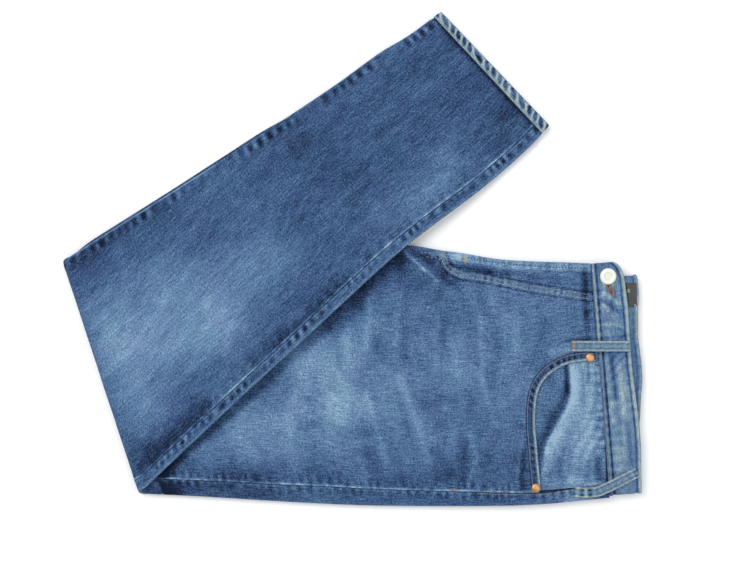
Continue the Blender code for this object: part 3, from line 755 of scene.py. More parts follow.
def leftFrontPanel():
    grid = thighGrid(lambda s: frontColumns(s, thigh["columns"], thigh["fineTo"]))
    x, y = grid.x, grid.y
    toSeam = np.maximum(grid.seam - grid.w, 0)
    inTheOpen = 1 - underShin(x, y)
    whiskers = softLines(x, y, thigh["whiskers"])
    fine = softLines(x, y, thigh["creases"]) + 2.6 * whiskers
    fine += 0.26 * patches(x, y, 34, 46, 21) + 0.14 * patches(x, y, 13, 22, 22)
    # Drawn up along the side seam and the waist
    drawn = puckers(grid.along, toSeam, 9.5, 5, 23, peak=4.5)
    waist = puckers(grid.w, grid.along, 11, 10, 24, peak=2)
    # The fly: its stitched line, the panel inside that, the strip along the centre front, and a painted
    # shadow beside its stitching
    stitched, aside = besideLine(flyLine, x, y)
    begun = stitched > 0
    onFly = begun * bell(aside, 0, 3.6, 4)
    flyPanel = smoothStep((stitched - 22) / 12) * smoothStep((aside - 3.4) / 1.6)
    flyStitchShadow = begun * bell(np.abs(aside), 4.8, 0.9)
    drawnFly = begun * (puckers(stitched, aside, 9, 7, 25) + 1.2 * puckers(stitched, aside, 5.5, 3, 30))
    flyStrip = smoothStep((9.0 - grid.w) / 1.6) * smoothStep((x - 94) / 14)
    relief = thighFolds(x, y) * edgeFade(grid) + inTheOpen * edgeFade(grid, 3, 4) * fine
    relief += inTheOpen * (0.38 * drawn + 0.35 * waist + 0.35 * drawnFly + 0.45 * onFly)
    relief += 0.7 * flyStrip + lipRelief(toSeam, 0.4)
    # 0 is the darkest indigo, and 1 is worn nearly white
    wear = 0.53 + softLines(x, y, thigh["fadesAndShade"]) + 1.2 * whiskers + lipWear(toSeam, grid.along)
    wear += 0.15 * drawn + 0.11 * waist + 0.13 * drawnFly + 0.05 * onFly - 0.30 * flyStitchShadow
    wear += 0.30 * flyStrip - 0.08 * flyPanel + 0.14 * puckers(x, grid.w, 7, 5, 29, peak=4) * flyStrip
    wear += 0.06 * patches(x + 0.3 * y, y, 11, 30, 27) + 0.05 * patches(x, y, 5, 9, 28)
    # Painted shadow of the shin on the thigh, beside and under its edge
    wear -= 0.12 * smoothStep(underShin(x, y))
    return legPanel("left_leg_front", grid, relief, wear, thigh["wall"], thighDenim, "left_front_leg",
                    keep=outsidePocket)


leftBackLook = dict(
    wall=1.0,
    drawn=(9.5, 5, 23, 2.5),  # spacing, reach, seed and middle of the drawn-up cloth
    rise=0.40,
    worn=0.36,
    drawnWear=0.17,
    cloud=(30, 9, 31),  # length, width and seed of its lighter patches
    edge=(0.12, 0, 2.5),  # how much lighter its edge is, how far in from it, and over what width
    fadesAndShade=(
        (222, -246, 238, -248, 10, 0.3), (196, -248, 206, -248, 8, 0.1),
        # These two lines: painted shade in the nook at the knee, and a darker stretch along the edge from it
        (-206, -234, -194, -238, 16, -0.34), (-190, -238, -90, -244, 16, -0.12),
        (-202, -240, -180, -244, 12, -0.2)),
)

# Where the front pocket opens, and the stitched line of the fly
pocketEdge = smoothPath(((256, -105.5), (239, -105), (224, -107), (211.5, -112), (199, -121.5), (191.5, -133),
                         (188.3, -146), (187.3, -160), (187.5, -175), (188.8, -190), (190, -205),
                         (191.5, -220), (193, -236), (194, -250)), 140)
flyLine = smoothPath(((91, 6), (94, -1), (97.5, -8), (104, -13), (112, -16.5), (127, -18.6), (150, -23),
                      (180, -29.3), (212, -34.4), (243.5, -39)), 130)
opening = dict(
    overlap=1.2,  # how far the front goes on under the mouth's edge
    corner=(184, -100, 7),  # the cut is to the waist's side of it in x, to the seam's side in y, and above it
    drawn=3.0,  # the most that a point on the cut is moved
)


def mouthLine(fromEdge, toX, toY):
    # The mouth's edge moved into the front, as far as the waist and the side seam
    line = beside(pocketEdge, -fromEdge)
    return line[(line[:, 0] < toX) & (line[:, 1] > toY)]


def outsidePocket(points, faces):
    # Cuts the pocket's opening out of the front, with its edge drawn onto the mouth's line
    (x, y, z), (toX, toY, low) = points.T, opening["corner"]
    _, aside = besideLine(pocketEdge, x, y)
    inward = aside + opening["overlap"]
    cut = (inward > 0) & (x > toX) & (y < toY) & (z > low)
    faces = faces[~cut[faces].all(axis=1)]
    border = np.unique(faces[cut[faces].any(axis=1)])
    border = border[cut[border]]
    near = np.argmin(((points[border, None, :2] - pocketEdge) ** 2).sum(axis=2), axis=1)
    drawn = np.clip(inward[border], 0, opening["drawn"])[:, None]
    points = points.copy()
    points[border, :2] -= leftward(headings(pocketEdge))[near] * drawn
    used, faces = np.unique(faces, return_inverse=True)
    return points[used], faces.reshape(-1, 4), used


leftFront = leftFrontPanel()
leftBackGrid = thighGrid(backColumns, seamLast=False)
leftBack = backPanel("left_leg_back", leftBackGrid, leftBackLook, thighDenim, "left_back_leg")
print("left leg made")


# Right leg: it goes round the knee and faces up on the shin

shin = dict(
    rows=300,
    columns=92,
    wall=1.0,
    creases=(
        (-250, 10, -236, -6, 8, 0.5), (60, 228, 74, 214, 5, 0.5), (-150, 80, -142, 66, 8, 0.35),
        (-100, -90, -60, -60, 10, 0.3), (60, 60, 120, 110, 10, 0.25), (182, 150, 168, 138, 6, 0.6),
        (168, 128, 160, 138, 6, 0.4), (120, 96, 112, 108, 6, 0.35)),
    fadesAndShade=(
        (-238, -62, -160, -60, 50, 0.28), (-238, -100, -216, -152, 34, 0.28),
        (-186, -100, -126, -72, 30, 0.16), (-120, -66, -96, -40, 30, 0.05),
        (-190, -14, -84, -6, 40, 0.17), (-70, 10, 0, 70, 50, 0.02), (66, 56, 102, 96, 30, 0.16),
        (18, 60, 32, 42, 9, 0.08), (-66, 122, 0, 84, 30, -0.08), (120, 100, 172, 150, 22, -0.05),
        (-206, -200, -150, -154, 15, -0.2), (-74, -84, -4, -36, 18, -0.22),
        (-120, -124, -20, -44, 26, -0.08), (-214, -214, -200, -204, 16, -0.1),
        (-284, -2, -190, 56, 14, -0.1), (-280, -10, -256, 10, 14, -0.06), (120, 176, 170, 140, 30, -0.05),
        (-142, -142, -112, -118, 14, 0.14), (-80, -78, -52, -56, 12, 0.12),
        (-196, -12, -150, 20, 24, -0.04)),
)


def rightStations():
    start = 1 - fold["kneeUnderlap"] / thighLength
    stations = [thighStation(share) for share in np.linspace(start, 1.0, 5)]
    stations += [kneeStation(angle) for angle in np.radians(np.linspace(-85, 85, 18))]
    lastShare = hemShare - fold["seamGap"] / shinLength
    return stations + [shinStation(share) for share in np.linspace(0, lastShare, shin["rows"])]


def rightFrontPanel():
    onShin = np.array([s.kind == "shin" for s in stationsOnRight])[:, None]
    grid = Grid(stationsOnRight, lambda s: frontColumns(s, shin["columns"]), "outer", turned=True)
    toSeam = np.maximum(grid.seam - grid.w, 0)
    toHem = (1 - grid.share) * shinLength - fold["hemWidth"]
    fine = softLines(grid.x, grid.y, shin["creases"]) * onShin
    fine += 0.28 * patches(grid.along, grid.w, 60, 34, 41) + 0.14 * patches(grid.along, grid.w, 26, 13, 42)
    # Drawn up along the outseam, the inseam and the hem, with a dip where the hem is sewn that is darkened
    # with painted shade
    drawn = puckers(grid.along, toSeam, 11.5, 4.6, 43, peak=5.6)
    inseam = puckers(grid.along, grid.w, 12.5, 4.8, 44, peak=6.0) * (grid.w > 0)
    drawnHem = puckers(grid.w, toHem, 10, 6, 45) * onShin
    dip = bell(toHem, 0, 3.2) * onShin
    relief = edgeFade(grid, 3, 4) * fine + 0.24 * drawn + 0.6 * inseam * smoothStep(grid.w / 3)
    relief += 0.3 * drawnHem + lipRelief(toSeam, 0.45) - 0.9 * dip
    wear = 0.36 + softLines(grid.x, grid.y, shin["fadesAndShade"]) + lipWear(toSeam, grid.along)
    wear += 0.07 * drawn + 0.24 * inseam + 0.08 * fine + 0.08 * drawnHem - 0.30 * dip
    # Lighter along the inner edge, most near the knee: wear on the fold with a painted highlight
    nearKnee = 1 - smoothStep((grid.share - 0.3) / 0.16)
    wear += (0.08 + 0.36 * nearKnee) * bell(grid.w, 0.8, 0.9) * onShin
    wear += 0.05 * patches(grid.across, grid.along, 7, 60, 46)
    wear += 0.05 * patches(grid.across, grid.along, 5, 12, 48)
    return legPanel("right_leg_front", grid, relief, wear, shin["wall"], legDenim, "right_front_leg")


rightBackLook = dict(
    wall=1.0,
    drawn=(10.5, 3.6, 53, 3.6),
    rise=0.42,
    worn=0.38,
    drawnWear=0.30,
    cloud=(26, 8, 47),
    edge=(0.20, 1, 2.0),
    fadesAndShade=(),
)
stationsOnRight = rightStations()
rightFront = rightFrontPanel()
rightBackGrid = Grid(stationsOnRight, backColumns, "outer", turned=True, seamLast=False)
rightBack = backPanel("right_leg_back", rightBackGrid, rightBackLook, legDenim, "right_back_leg")
print("right leg made")


# Hems: each leg's end, turned up and stitched, drawn into a slanting rope

hem = dict(
    wall=1.9,
    swayed=(17, 62),  # length and seed of the rope's uneven spacing
    strong=(9, 6, 61),  # length, width and seed of where it is drawn in more
    rope=10.4,  # from one hollow to the next
    slant=-0.9,
    depth=1.35,
    topColumns=190,
    foldedEdge=10.2,  # of the cloth turned up, from the open end
    worn=0.42,  # where it doesn't show
)


def ringPath(station, inset, count):
    # All round a flattened leg end, that far in from its outer skin: distances and depths
    quarter = fold["hemStack"] / 4
    r = quarter - fold["slack"]
    innerW, innerDepth = edgeTurn(station, False, inset)
    sideW, sideDepth = edgeTurn(station, True, inset)
    across = np.linspace(r + 1, station.width - r - 1, count)
    back = across[::-3]
    top = np.full(len(across), quarter - r + inset)
    low = np.full(len(back), quarter + r - inset)
    return (np.concatenate([innerW, across, sideW[::-1], back]),
            np.concatenate([innerDepth, top, sideDepth[::-1], low]))


def hemLoop():
    # Round the turned-up cloth: distance from its open end, and inset from its outer skin
    half, width = hem["wall"] / 2, fold["hemWidth"]
    turn = np.radians(np.linspace(0, 180, 7))
    outEnd = np.column_stack([half - half * np.sin(turn), half + half * np.cos(turn)])
    inEnd = np.column_stack([width - half + half * np.sin(turn), half - half * np.cos(turn)])
    outerSkin = [(d, 0.0) for d in np.linspace(half, width - half, 12)[1:-1]]
    innerSkin = [(d, hem["wall"]) for d in np.linspace(width - half, half, 4)[1:-1]]
    return [*outEnd[::-1], *outerSkin, *inEnd, *innerSkin]


def hemRow(w, fromEnd):
    # One row of the rope: how far it stands out, and its wear and painted shade
    length, seed = hem["swayed"]
    sway = 0.42 * patches(w, 0, length, 1, seed)
    beat = np.cos(2 * math.pi * ((w + hem["slant"] * fromEnd) / hem["rope"] + sway))
    uneven = 0.86 + 0.50 * patches(w, fromEnd, *hem["strong"])
    hollow = uneven * smoothStep(0.92 - 0.80 * beat - 0.9 * ((fromEnd - 4.5) / 4.0) ** 2)
    crest, groove = piping(hem["foldedEdge"] - fromEnd, 1.2, 1.2)
    lift = (0.30 - hollow) * hem["depth"] * bell(fromEnd, 5, 5, 4) + 0.35 * crest
    ridge = smoothStep((beat - 0.6) / 0.4) * bell(fromEnd, 4.9, 3.6, 4)
    bumpy = puckers(w, fromEnd, 5.2, 1.8, 64)
    wear = 0.99 - 0.72 * hollow + 0.16 * ridge + 0.26 * bumpy - 0.16 * (crest + groove)
    # Past the turned-up edge, a painted shadow line where the hem stands off the leg
    return lift, wear - 0.16 * smoothStep((fromEnd - 10.5) / 0.8)


def makeHem(name, side, node):
    loop = hemLoop()
    rows = []
    for fromEnd, inset in loop:
        station = shinStation(1 - fromEnd / shinLength, fold["hemStack"])
        w, depth = ringPath(station, inset, hem["topColumns"])
        lift, wear = hemRow(w, fromEnd)
        onSkin = float(inset < 0.01)
        row = getattr(station, side)(w, depth - lift * onSkin * np.sign(fold["hemStack"] / 4 - depth))
        row[:, 2] = np.maximum(row[:, 2], 0)
        wear = hem["worn"] + onSkin * (wear - hem["worn"]) + 0.08 * patches(w, fromEnd, 9, 9, 63)
        rows.append(np.column_stack([row, wear]))
    sections = np.array(rows).transpose(1, 0, 2)
    points = sections[..., :3].reshape(-1, 3)
    count, ring = sections.shape[:2]
    faces = facingOut(points, (gridFaces(count + 1, ring, closed=True) % len(points)).tolist())
    along = runs(sections[:, 4, :3])[:, None] + np.zeros((count, ring))
    across = np.zeros((count, ring)) + np.array(loop)[:, 0]
    shownTops.append((points, faces))
    obj = makeMesh(name, points, faces, across, along, sections[..., 3])
    return dress(obj, strapDenim, "denim", node)


rightHem = makeHem("right_leg_hem", "outer", "right_hem")
leftHem = makeHem("left_leg_hem", "inmost", "left_hem")
print("hems made")


# Front pocket: the denim inside it, and the stitched band along its mouth

pocket = dict(
    wall=1.0,
    grid=(110, 46),  # points along the mouth, and across from it
    nearEdge=(6.0, 260, -236.5),  # its line below the mouth: distance from the edge, and where it ends
    farEdge=((257.5, -99), (260.6, -232.5), (191, -238.5)),
    sunk=1.8,
    folds=(
        (236, -118, 234, -138, 7, 2.6), (234, -138, 222, -172, 9, 2.8), (222, -172, 208, -205, 8, 2.2),
        (208, -205, 204, -226, 7, 1.6), (246, -150, 240, -215, 8, 1.6)),
    creases=(
        (219.5, -107, 221, -138, 3, -1.6), (226, -122, 226.5, -136, 4, 0.5),
        (219, -140, 212, -158, 5, -0.6), (248, -118, 250, -150, 5, -0.5), (236, -112, 236, -150, 3, -0.5),
        (242, -108, 242, -126, 3, -0.6), (212, -204, 214, -232, 6, -0.6), (251, -200, 252, -232, 4, -0.6),
        (214, -150, 204, -154, 4, 0.3), (216, -170, 204, -178, 5, 0.3), (232, -190, 226, -225, 6, 0.4)),
    # Lighter and darker patches; the dark lines along the creases are painted shade in them
    fadesAndShade=(
        (243, -108, 247, -200, 11, 0.22), (232, -176, 228, -226, 12, 0.12),
        (219, -106, 220.5, -136, 2.6, -0.36), (203, -126, 201, -164, 12, -0.14),
        (212, -206, 214, -226, 5, -0.12), (251, -202, 253, -226, 4.5, -0.22),
        (232, -150, 240, -200, 10, 0.06), (210, -230, 250, -232, 8, 0.18),
        (242, -108, 242, -126, 2.4, -0.22), (236, -114, 237, -150, 2.2, -0.14),
        (212, -172, 198, -182, 4, -0.1), (198, -212, 197, -226, 4, 0.1), (254, -112, 256, -196, 3, 0.1)),
)
# Where the denim inside the pocket stands up in its long bright fold: the fold's sharp side
puffLine = smoothPath(((221, -104), (222.5, -136), (219, -150), (210.5, -166), (201, -183), (196, -196),
                       (194, -214)), 80)


def pocketFacing():
    # Rows from below the mouth's edge over to the waist seam and the side seam
    count, steps = pocket["grid"]
    start = evenly(mouthLine(*pocket["nearEdge"]), count)
    turn = evenly(pocket["farEdge"], 400)
    atCorner = np.argmin(np.linalg.norm(turn - np.array(pocket["farEdge"][1]), axis=1)) / 399
    reach = np.interp(np.linspace(0, 1, count), [0, 0.55, 1], [0, atCorner, 1])
    finish = np.stack([np.interp(reach, np.linspace(0, 1, 400), places) for places in turn.T], axis=1)
    across = np.linspace(0, 1, steps)
    plan = start[:, None] + across[None, :, None] * (finish - start)[:, None]
    x, y = plan[..., 0], plan[..., 1]
    _, openBy = besideLine(pocketEdge, x, y)
    sunk = pocket["sunk"] * (1 - smoothStep(openBy / 14))
    nearSide = smoothStep((y + 234) / 10)
    fine = softLines(x, y, pocket["creases"]) + 0.2 * patches(x, y, 17, 24, 71)
    waist = puckers(y, 257 - x, 9, 10, 72)
    puffed = nearSide * smoothStep(openBy / 9) * (softLines(x, y, pocket["folds"]) + fine)
    z = thighLevel(x) - sunk + puffed + 0.3 * waist * nearSide
    # Painted light on the bright fold's lit side, and painted shade on its other one
    ran, ahead = besideLine(puffLine, x, y)
    bright = smoothStep((ahead + 0.5) / 3.5) * np.exp(-np.maximum(ahead - 4, 0) / 8)
    bright = bright * smoothStep((134 - ran) / 50) * (0.94 + 0.24 * patches(ran, ahead, 13, 5, 76))
    shaded = bell(ahead, -4, 5) * smoothStep((ran - 18) / 14)
    lines = puckers(ahead, ran - 60, 9.5, 60, 74) * smoothStep((ahead - 6) / 5)
    wear = 0.59 + 0.56 * bright - 0.30 * shaded + 0.10 * lines + 0.18 * waist
    wear += softLines(x, y, pocket["fadesAndShade"]) + 0.06 * fine + 0.06 * patches(x + 0.4 * y, y, 6, 16, 73)
    points = np.stack([x, y, z], axis=2).reshape(-1, 3)
    faces = upward(points, gridFaces(count, steps))
    return sheet("left_pocket_inside", points, faces, y, 260 - x, wear, pocket["wall"], thighDenim, "denim",
                 "left_pocket_facing")


mouthLook = dict(
    rows=150,
    length=190,
    ends=(249.6, -238.4),
    # Across the band: distance from the mouth's edge into the panel, and height over the panel
    top=(
        (0, -0.6), (-0.5, 0.3), (-0.2, 1.3), (0.6, 2.05), (1.5, 2.15), (2.3, 1.8), (3, 1.5), (4.4, 1.6),
        (5.8, 1.6), (7, 1.55), (7.7, 1.35), (8.4, 1.6), (9, 1.35), (9.3, 0.9)),
    under=((9, 0.2), (7.5, 0.25), (5, 0.3), (2, 0.3), (1, 0.2)),
)


def mouthBand():
    d, h = np.array(mouthLook["top"] + mouthLook["under"]).T
    onTop = np.arange(len(d)) < len(mouthLook["top"])
    lines = [evenly(mouthLine(distance, *mouthLook["ends"]), mouthLook["rows"]) for distance in d]
    sections = []
    for here, run in zip(np.stack(lines, axis=1), np.linspace(0, mouthLook["length"], mouthLook["rows"])):
        ladder = puckers(run, d - 4.6, 7.5, 3.2, 75)
        z = thighLevel(here[:, 0]) + thighFolds(here[:, 0], here[:, 1]) + h + 0.45 * ladder * onTop
        # A lighter rolled edge and stitched strip, a painted shadow line in the dip behind the rolled edge,
        # and darker along the far edge
        wear = 0.30 + 0.66 * bell(d, 1.0, 1.5) + 0.22 * bell(d, 8.3, 0.6)
        wear += 0.20 * ladder - 0.26 * bell(d, 3.3, 0.7) - 0.25 * (d > 8.9)
        sections.append(np.column_stack([here, z, wear]))
    return sweep("left_pocket_edge", sections, trimDenim, "denim", "left_pocket_mouth")


facing = pocketFacing()
mouth = mouthBand()
print("pocket made")


# Waistband, in one piece: it runs over the left front, folds at the side, and so on to the right front

band = dict(
    wall=2.6,
    levels=(12.75, 8.9, 5.1, 1.3),  # left front, left back, right back, right front
    straight=224.0,  # as far as it runs flat, before it turns at the side
    sideFold=239.5,
    backFold=15.5,
    # By distance from the centre front: its width, how much higher its back stands, and how it waves
    widths=(
        (0, 24), (2.5, 28), (6, 30.6), (14, 33.2), (22, 33.8), (50, 34.6), (110, 33.6), (160, 36), (190, 36),
        (240, 33)),
    backRise=(
        (0, 13), (20, 14), (37, 13.6), (50, 10.8), (80, 9.2), (107, 10.8), (122, 10), (143, 5.6),
        (168, 1.2), (242, 0)),
    waves=(
        (0, -0.8), (12, 0), (40, 0.5), (75, 0.2), (110, 1.3), (150, 0.8), (190, 1.1), (228, 0.2), (242, 0)),
    step=2.2,
    roll=1.0,  # height of its rolled edges
    # Distances from the centre front and from its seam, of both ends, half width, height
    creases=(
        (12, 14, 50, 8, 2.4, 0.7), (30, 22, 52, 16, 2.2, -0.7), (44, 12, 66, 22, 2.6, 0.6),
        (56, 16, 72, 26, 2, -0.6), (70, 12, 82, 14, 2.4, 0.5), (98, 7, 165, 9, 3, 0.5),
        (94, 13, 142, 15, 2.4, -0.9), (104, 20, 158, 21, 3.4, 0.5), (150, 15, 190, 17, 2.4, -0.4),
        (166, 24, 208, 25, 2.6, -0.7), (190, 11, 226, 13, 4, 0.35), (172, 19, 200, 18, 2.8, 0.4),
        (30, 10, 44, 26, 2.6, 0.7), (38, 8, 54, 28, 2.4, -0.6), (62, 8, 66, 24, 2.2, 0.5),
        (22, 16, 34, 12, 2.2, -0.5)),
    loopAt=84.7,
)
waist = thighStation(0.0)
waistOut = leftward(waist.across)


def bandPath():
    # Distance from the centre front, height, and how far that stretch belongs to the back
    frontLevel, leftBack, rightBack, rightFront = band["levels"]
    front = np.arange(0, band["straight"] + 0.1, band["step"])
    back = np.arange(band["backFold"] + 4, band["straight"] + 0.1, band["step"])
    path = [(v, frontLevel + float(lookUp(band["waves"], v)), 0.0) for v in front]

    def bend(level, below, edge, way):
        radius = (level - below) / 2
        middle = edge - way * (radius + band["wall"] / 2)
        for turn in np.radians(np.linspace(90, -90, 11)):
            path.append((middle + way * radius * math.cos(turn), below + radius * (1 + math.sin(turn)), 1.0))

    bend(frontLevel, leftBack, band["sideFold"], 1)
    path.extend((v, leftBack, 1.0) for v in back[::-1])
    bend(leftBack, rightBack, band["backFold"], -1)
    path.extend((v, rightBack, 1.0) for v in back)
    bend(rightBack, rightFront, band["sideFold"], 1)
    path.extend((v, rightFront, 0.0) for v in front[::-1])
    return np.array(path)


def waistband():
    path = bandPath()
    half = band["wall"] / 2
    near = np.array([0.7, 1.2, 1.8, 2.4, 3.1, 3.9, 4.7, 5.5])
    ends = np.radians(np.array([-60, -30, 0, 30, 60]))
    sections = []
    for (v, z, isBack), run, normal in zip(path, runs(path[:, :2]), leftward(headings(path))):
        # Once round the band: distance from the seam, from the middle of the cloth, and which side it faces
        top = float(lookUp(band["widths"], v) + isBack * lookUp(band["backRise"], v))
        outside = np.concatenate([near, np.linspace(6.4, top - 6.4, 12), top - near[::-1]])
        inner = np.concatenate([top - near, np.linspace(top - 8, 4, 5)])
        topEnd, lowEnd = top - half + half * np.cos(ends), half - half * np.cos(ends)
        d = np.concatenate([outside, topEnd, inner, lowEnd])
        n = half * np.concatenate([0 * outside + 1, np.sin(ends[::-1]), 0 * inner - 1, np.sin(ends)])
        facing = np.concatenate([0 * outside + 1, 0 * ends, 0 * inner - 1, 0 * ends])
        isFront = 1 - isBack
        # Drawn up from both edges, slanting, with soft waves, creases and the two stitched edges
        drawn = puckers(run, d, 9.5, 11, 81, peak=6) + 0.6 * puckers(run, top - d, 10, 8, 82)
        slant = puckers(run + 0.9 * d, d, 13, 15, 85, peak=16)
        soft = patches(run + 0.4 * d, d, 26, 22, 83)
        crease = softLines(v, d, band["creases"]) * isFront
        crest, groove = piping(np.minimum(d, top - d), 1.9, 1.5)
        topCrest, topGroove = piping(top - d, 1.9, 1.5)
        relief = band["roll"] * crest - 0.4 * groove + 0.36 * drawn + 0.3 * slant + 0.25 * soft + 1.5 * crease
        relief = relief * (facing > 0) + (band["roll"] * topCrest - 0.3 * topGroove) * (facing < 0)
        n = n + relief * (z > band["levels"][3] + 0.5) * facing
        wear = 0.72 + 0.10 * drawn + 0.09 * slant + 0.12 * soft + 0.36 * crease
        # Painted shadow on the band beside the front belt loop, and darker towards the centre front
        wear -= 0.22 * isFront * bell(abs(v - band["loopAt"]), 7.2, 1.7) + 0.10 * smoothStep((24 - v) / 14)
        # Past the front belt loop, its lower half is sewn down flat
        sewnDown = (v > band["loopAt"]) * (d < top / 2)
        # Lighter wear on the rolled edges' crests, painted shade in the grooves beside them and a painted
        # shadow line along the lower seam; on the inner face, painted shade in the top groove
        worn = (0.34 - 0.34 * sewnDown) * crest - (0.42 + 0.2 * sewnDown) * groove - 0.3 * (d < 0.8)
        wear = np.where(facing > 0, wear + worn, wear - 0.10 + 0.24 * topCrest - 0.2 * topGroove)
        wear = wear + 0.14 * (facing == 0)
        plan = waist.plan(v)[0] + np.outer(fold["seamGap"] + d, waistOut)
        plan = plan + np.outer(n * normal[0], waist.across)
        sections.append(np.column_stack([plan, z + n * normal[1], wear]))
    return sweep("waist_band", sections, trimDenim, "denim", "waistband")


bandPiece = waistband()
print("waistband made")


# A view down onto the cloth, so that what is sewn on it lies on it

def topView():
    points, faces, start = [], [], 0
    for cloth, made in shownTops:
        points.extend(map(tuple, np.asarray(cloth)))
        faces.extend([int(v) + start for v in face] for face in made)
        start += len(cloth)
    return BVHTree.FromPolygons(points, faces)


cloths = topView()


def surfaceAt(x, y):
    wellAbove = 60.0
    hit, normal, _, _ = cloths.ray_cast(Vector((x, y, wellAbove)), Vector((0, 0, -1)))
    if hit is None:
        return np.array([x, y, 0.0]), np.array([0, 0, 1.0])
    return np.array(hit), np.array(normal if normal.z > 0 else -normal)


def topAround(x, y, reach):
    steps = np.linspace(-reach, reach, 5)
    return max(surfaceAt(x + dx, y + dy)[0][2] for dx in steps for dy in steps)


# Belt loops: straps sewn down at their lower ends, which stand a little off the waistband

loops = dict(
    width=11.0,
    wall=1.6,
    rows=48,
    seat=0.3,  # off what is below it
    arch=0.8,
    front=(
        (224.5, -89.6, 0), (230, -89.6, 0.1), (236, -89.6, 0.3), (247, -89.6, 0.8), (257, -89.6, 0.9),
        (270, -89.6, 0.9), (284, -89.6, 0.2)),
    side=(
        (227, -239, 0), (233, -239.7, 0.1), (240, -240, 0.4), (252, -238.5, 0.8), (264, -233, 0.9),
        (276, -227, 0.9), (292, -219, 0.2)),
)


def beltLoop(name, middleLine, node, seed):
    line = smoothPath(middleLine, loops["rows"])
    half, last = loops["width"] / 2, loops["rows"] - 1
    bases = np.array([topAround(x, y, half * 0.9) for x, y, _ in line])
    bases = np.convolve(np.pad(bases, 4, mode="edge"), np.ones(9) / 9, mode="valid")
    edge = np.array([0, 0.15, 0.7, 1.4, 2.2, 3.0, half - 1.2, half])
    across = np.concatenate([edge - half, (half - edge[:-1])[::-1]])
    edge = half - np.abs(across)
    height = loops["wall"] + 0.35 * bell(edge, 1.4, 0.9) - 0.2 * bell(edge, 2.9, 0.6)
    height = height * np.sqrt(np.clip(1 - np.clip(1 - edge, 0, 1) ** 2, 0.05, 1))
    sections = []
    for k, ((x, y, lift), (dx, dy)) in enumerate(zip(line, headings(line))):
        run = 60 * k / last
        bump = 0.25 * puckers(run, edge - 3, 7, 3, seed)
        taper = min(1.0, 0.35 + k * 0.4, 0.35 + (last - k) * 0.4)
        base = bases[k] + loops["seat"] + lift * loops["arch"]
        # Lighter worn edges, painted shade in the groove inside each edge, a painted shadow outline at the
        # strap's foot and painted shade where the strap dips
        wear = 0.76 + 0.28 * bell(edge, 1.0, 0.9) - 0.26 * bell(edge, 3.0, 0.6)
        wear += 1.2 * bump - 0.4 * (edge < 0.1) - 0.12 * bell(run, 16, 5) * (edge > 3.4)
        strip = np.column_stack([x - dy * across, y + dx * across, base + height * taper + bump, wear])
        low = strip[1:-1].copy()
        low[:, 2] = base
        sections.append(np.vstack([strip, low[::-1]]))
    return sweep(name, sections, strapDenim, "denim", node), line


frontLoop, frontLoopLine = beltLoop("front_loop", loops["front"], "belt_loop_front", 91)
sideLoop, sideLoopLine = beltLoop("side_loop", loops["side"], "belt_loop_side", 92)
cloths = topView()
print("belt loops made")


# Label: a bare strip of black satin inside the back of the waistband

label = dict(corners=((280.5, -24.5), (292, -24.5), (292.5, -48), (284.5, -50)), wall=0.7)


def waistLabel():
    count, steps = 16, 30
    a, b, c, d = np.array(label["corners"])
    level = band["levels"][1] + band["wall"] / 2 + fold["seamGap"] + label["wall"]
    s, t = np.meshgrid(np.linspace(0, 1, count), np.linspace(0, 1, steps), indexing="ij")
    s, t = s[..., None], t[..., None]
    plan = a * (1 - s) * (1 - t) + b * s * (1 - t) + c * s * t + d * (1 - s) * t
    edge = np.minimum(np.minimum(s, 1 - s) * 11, np.minimum(t, 1 - t) * 24)
    z = level + 0.25 * bell(edge, 0.8, 0.6) + 0.12 * patches(plan[..., :1], plan[..., 1:], 5, 8, 95)
    points = np.concatenate([plan, z], axis=2).reshape(-1, 3)
    faces = upward(points, gridFaces(count, steps))
    finish = Finish("black satin ribbon", Roughness=0.45, Sheen_Weight=0.25)
    place = finish.node("ShaderNodeUVMap", {"uv_map": "cloth"})
    rows = finish.node("ShaderNodeMapping", sockets={"Vector": place, "Scale": (9000.0, 1500.0, 1)})
    satin = noise(finish, rows, 0.3, noise_dimensions="2D")
    shade = finish.node("ShaderNodeValToRGB", {"stops": ((0.3, tint(26, 27, 29)), (0.7, tint(58, 60, 62)))},
                        {"Fac": satin})
    black = finish.feed(Base_Color=shade, Normal=bumped(finish, satin, 0.5, 0.2))
    return sheet("inside_label", points, faces, s * 12, t * 25, edge * 0.1, label["wall"], black,
                 "label_black", "waist_label")


labelPiece = waistLabel()
cloths = topView()
print("label made")


# Stitching: one stitch is modelled, and every other is a copy of it

stitch = dict(
    long=(2.7, 0.75),  # length of a stitch, and the gap to the next
    marks=8,  # places along each stitch and its gap
    jump=2.5,  # the most that one may rise or fall
    lift=0.12,
)


def stitchShape():
    # A short plump thread along X, one long and one thick, with its ends turned down into the cloth
    bpy.ops.mesh.primitive_cylinder_add(vertices=6, radius=0.5, depth=1.0, end_fill_type="NGON")
    obj = bpy.context.object
    bpy.ops.object.mode_set(mode="EDIT")
    bpy.ops.mesh.select_all(action="SELECT")
    bpy.ops.transform.rotate(value=math.pi / 2, orient_axis="Y", center_override=(0, 0, 0))
    for at in (-0.3, 0.3):
        bpy.ops.mesh.select_all(action="SELECT")
        bpy.ops.mesh.bisect(plane_co=(at, 0, 0), plane_no=(1, 0, 0))
    bpy.ops.object.mode_set(mode="OBJECT")
    points = np.array([v.co for v in obj.data.vertices])
    ends = np.abs(points[:, 0]) > 0.45
    points[ends, 1:] *= 0.55
    points[ends, 2] -= 0.35
    faces = [tuple(p.vertices) for p in obj.data.polygons]
    bpy.data.objects.remove(obj)
    return points, facingOut(points, faces)


stitchPoints, stitchFaces = stitchShape()


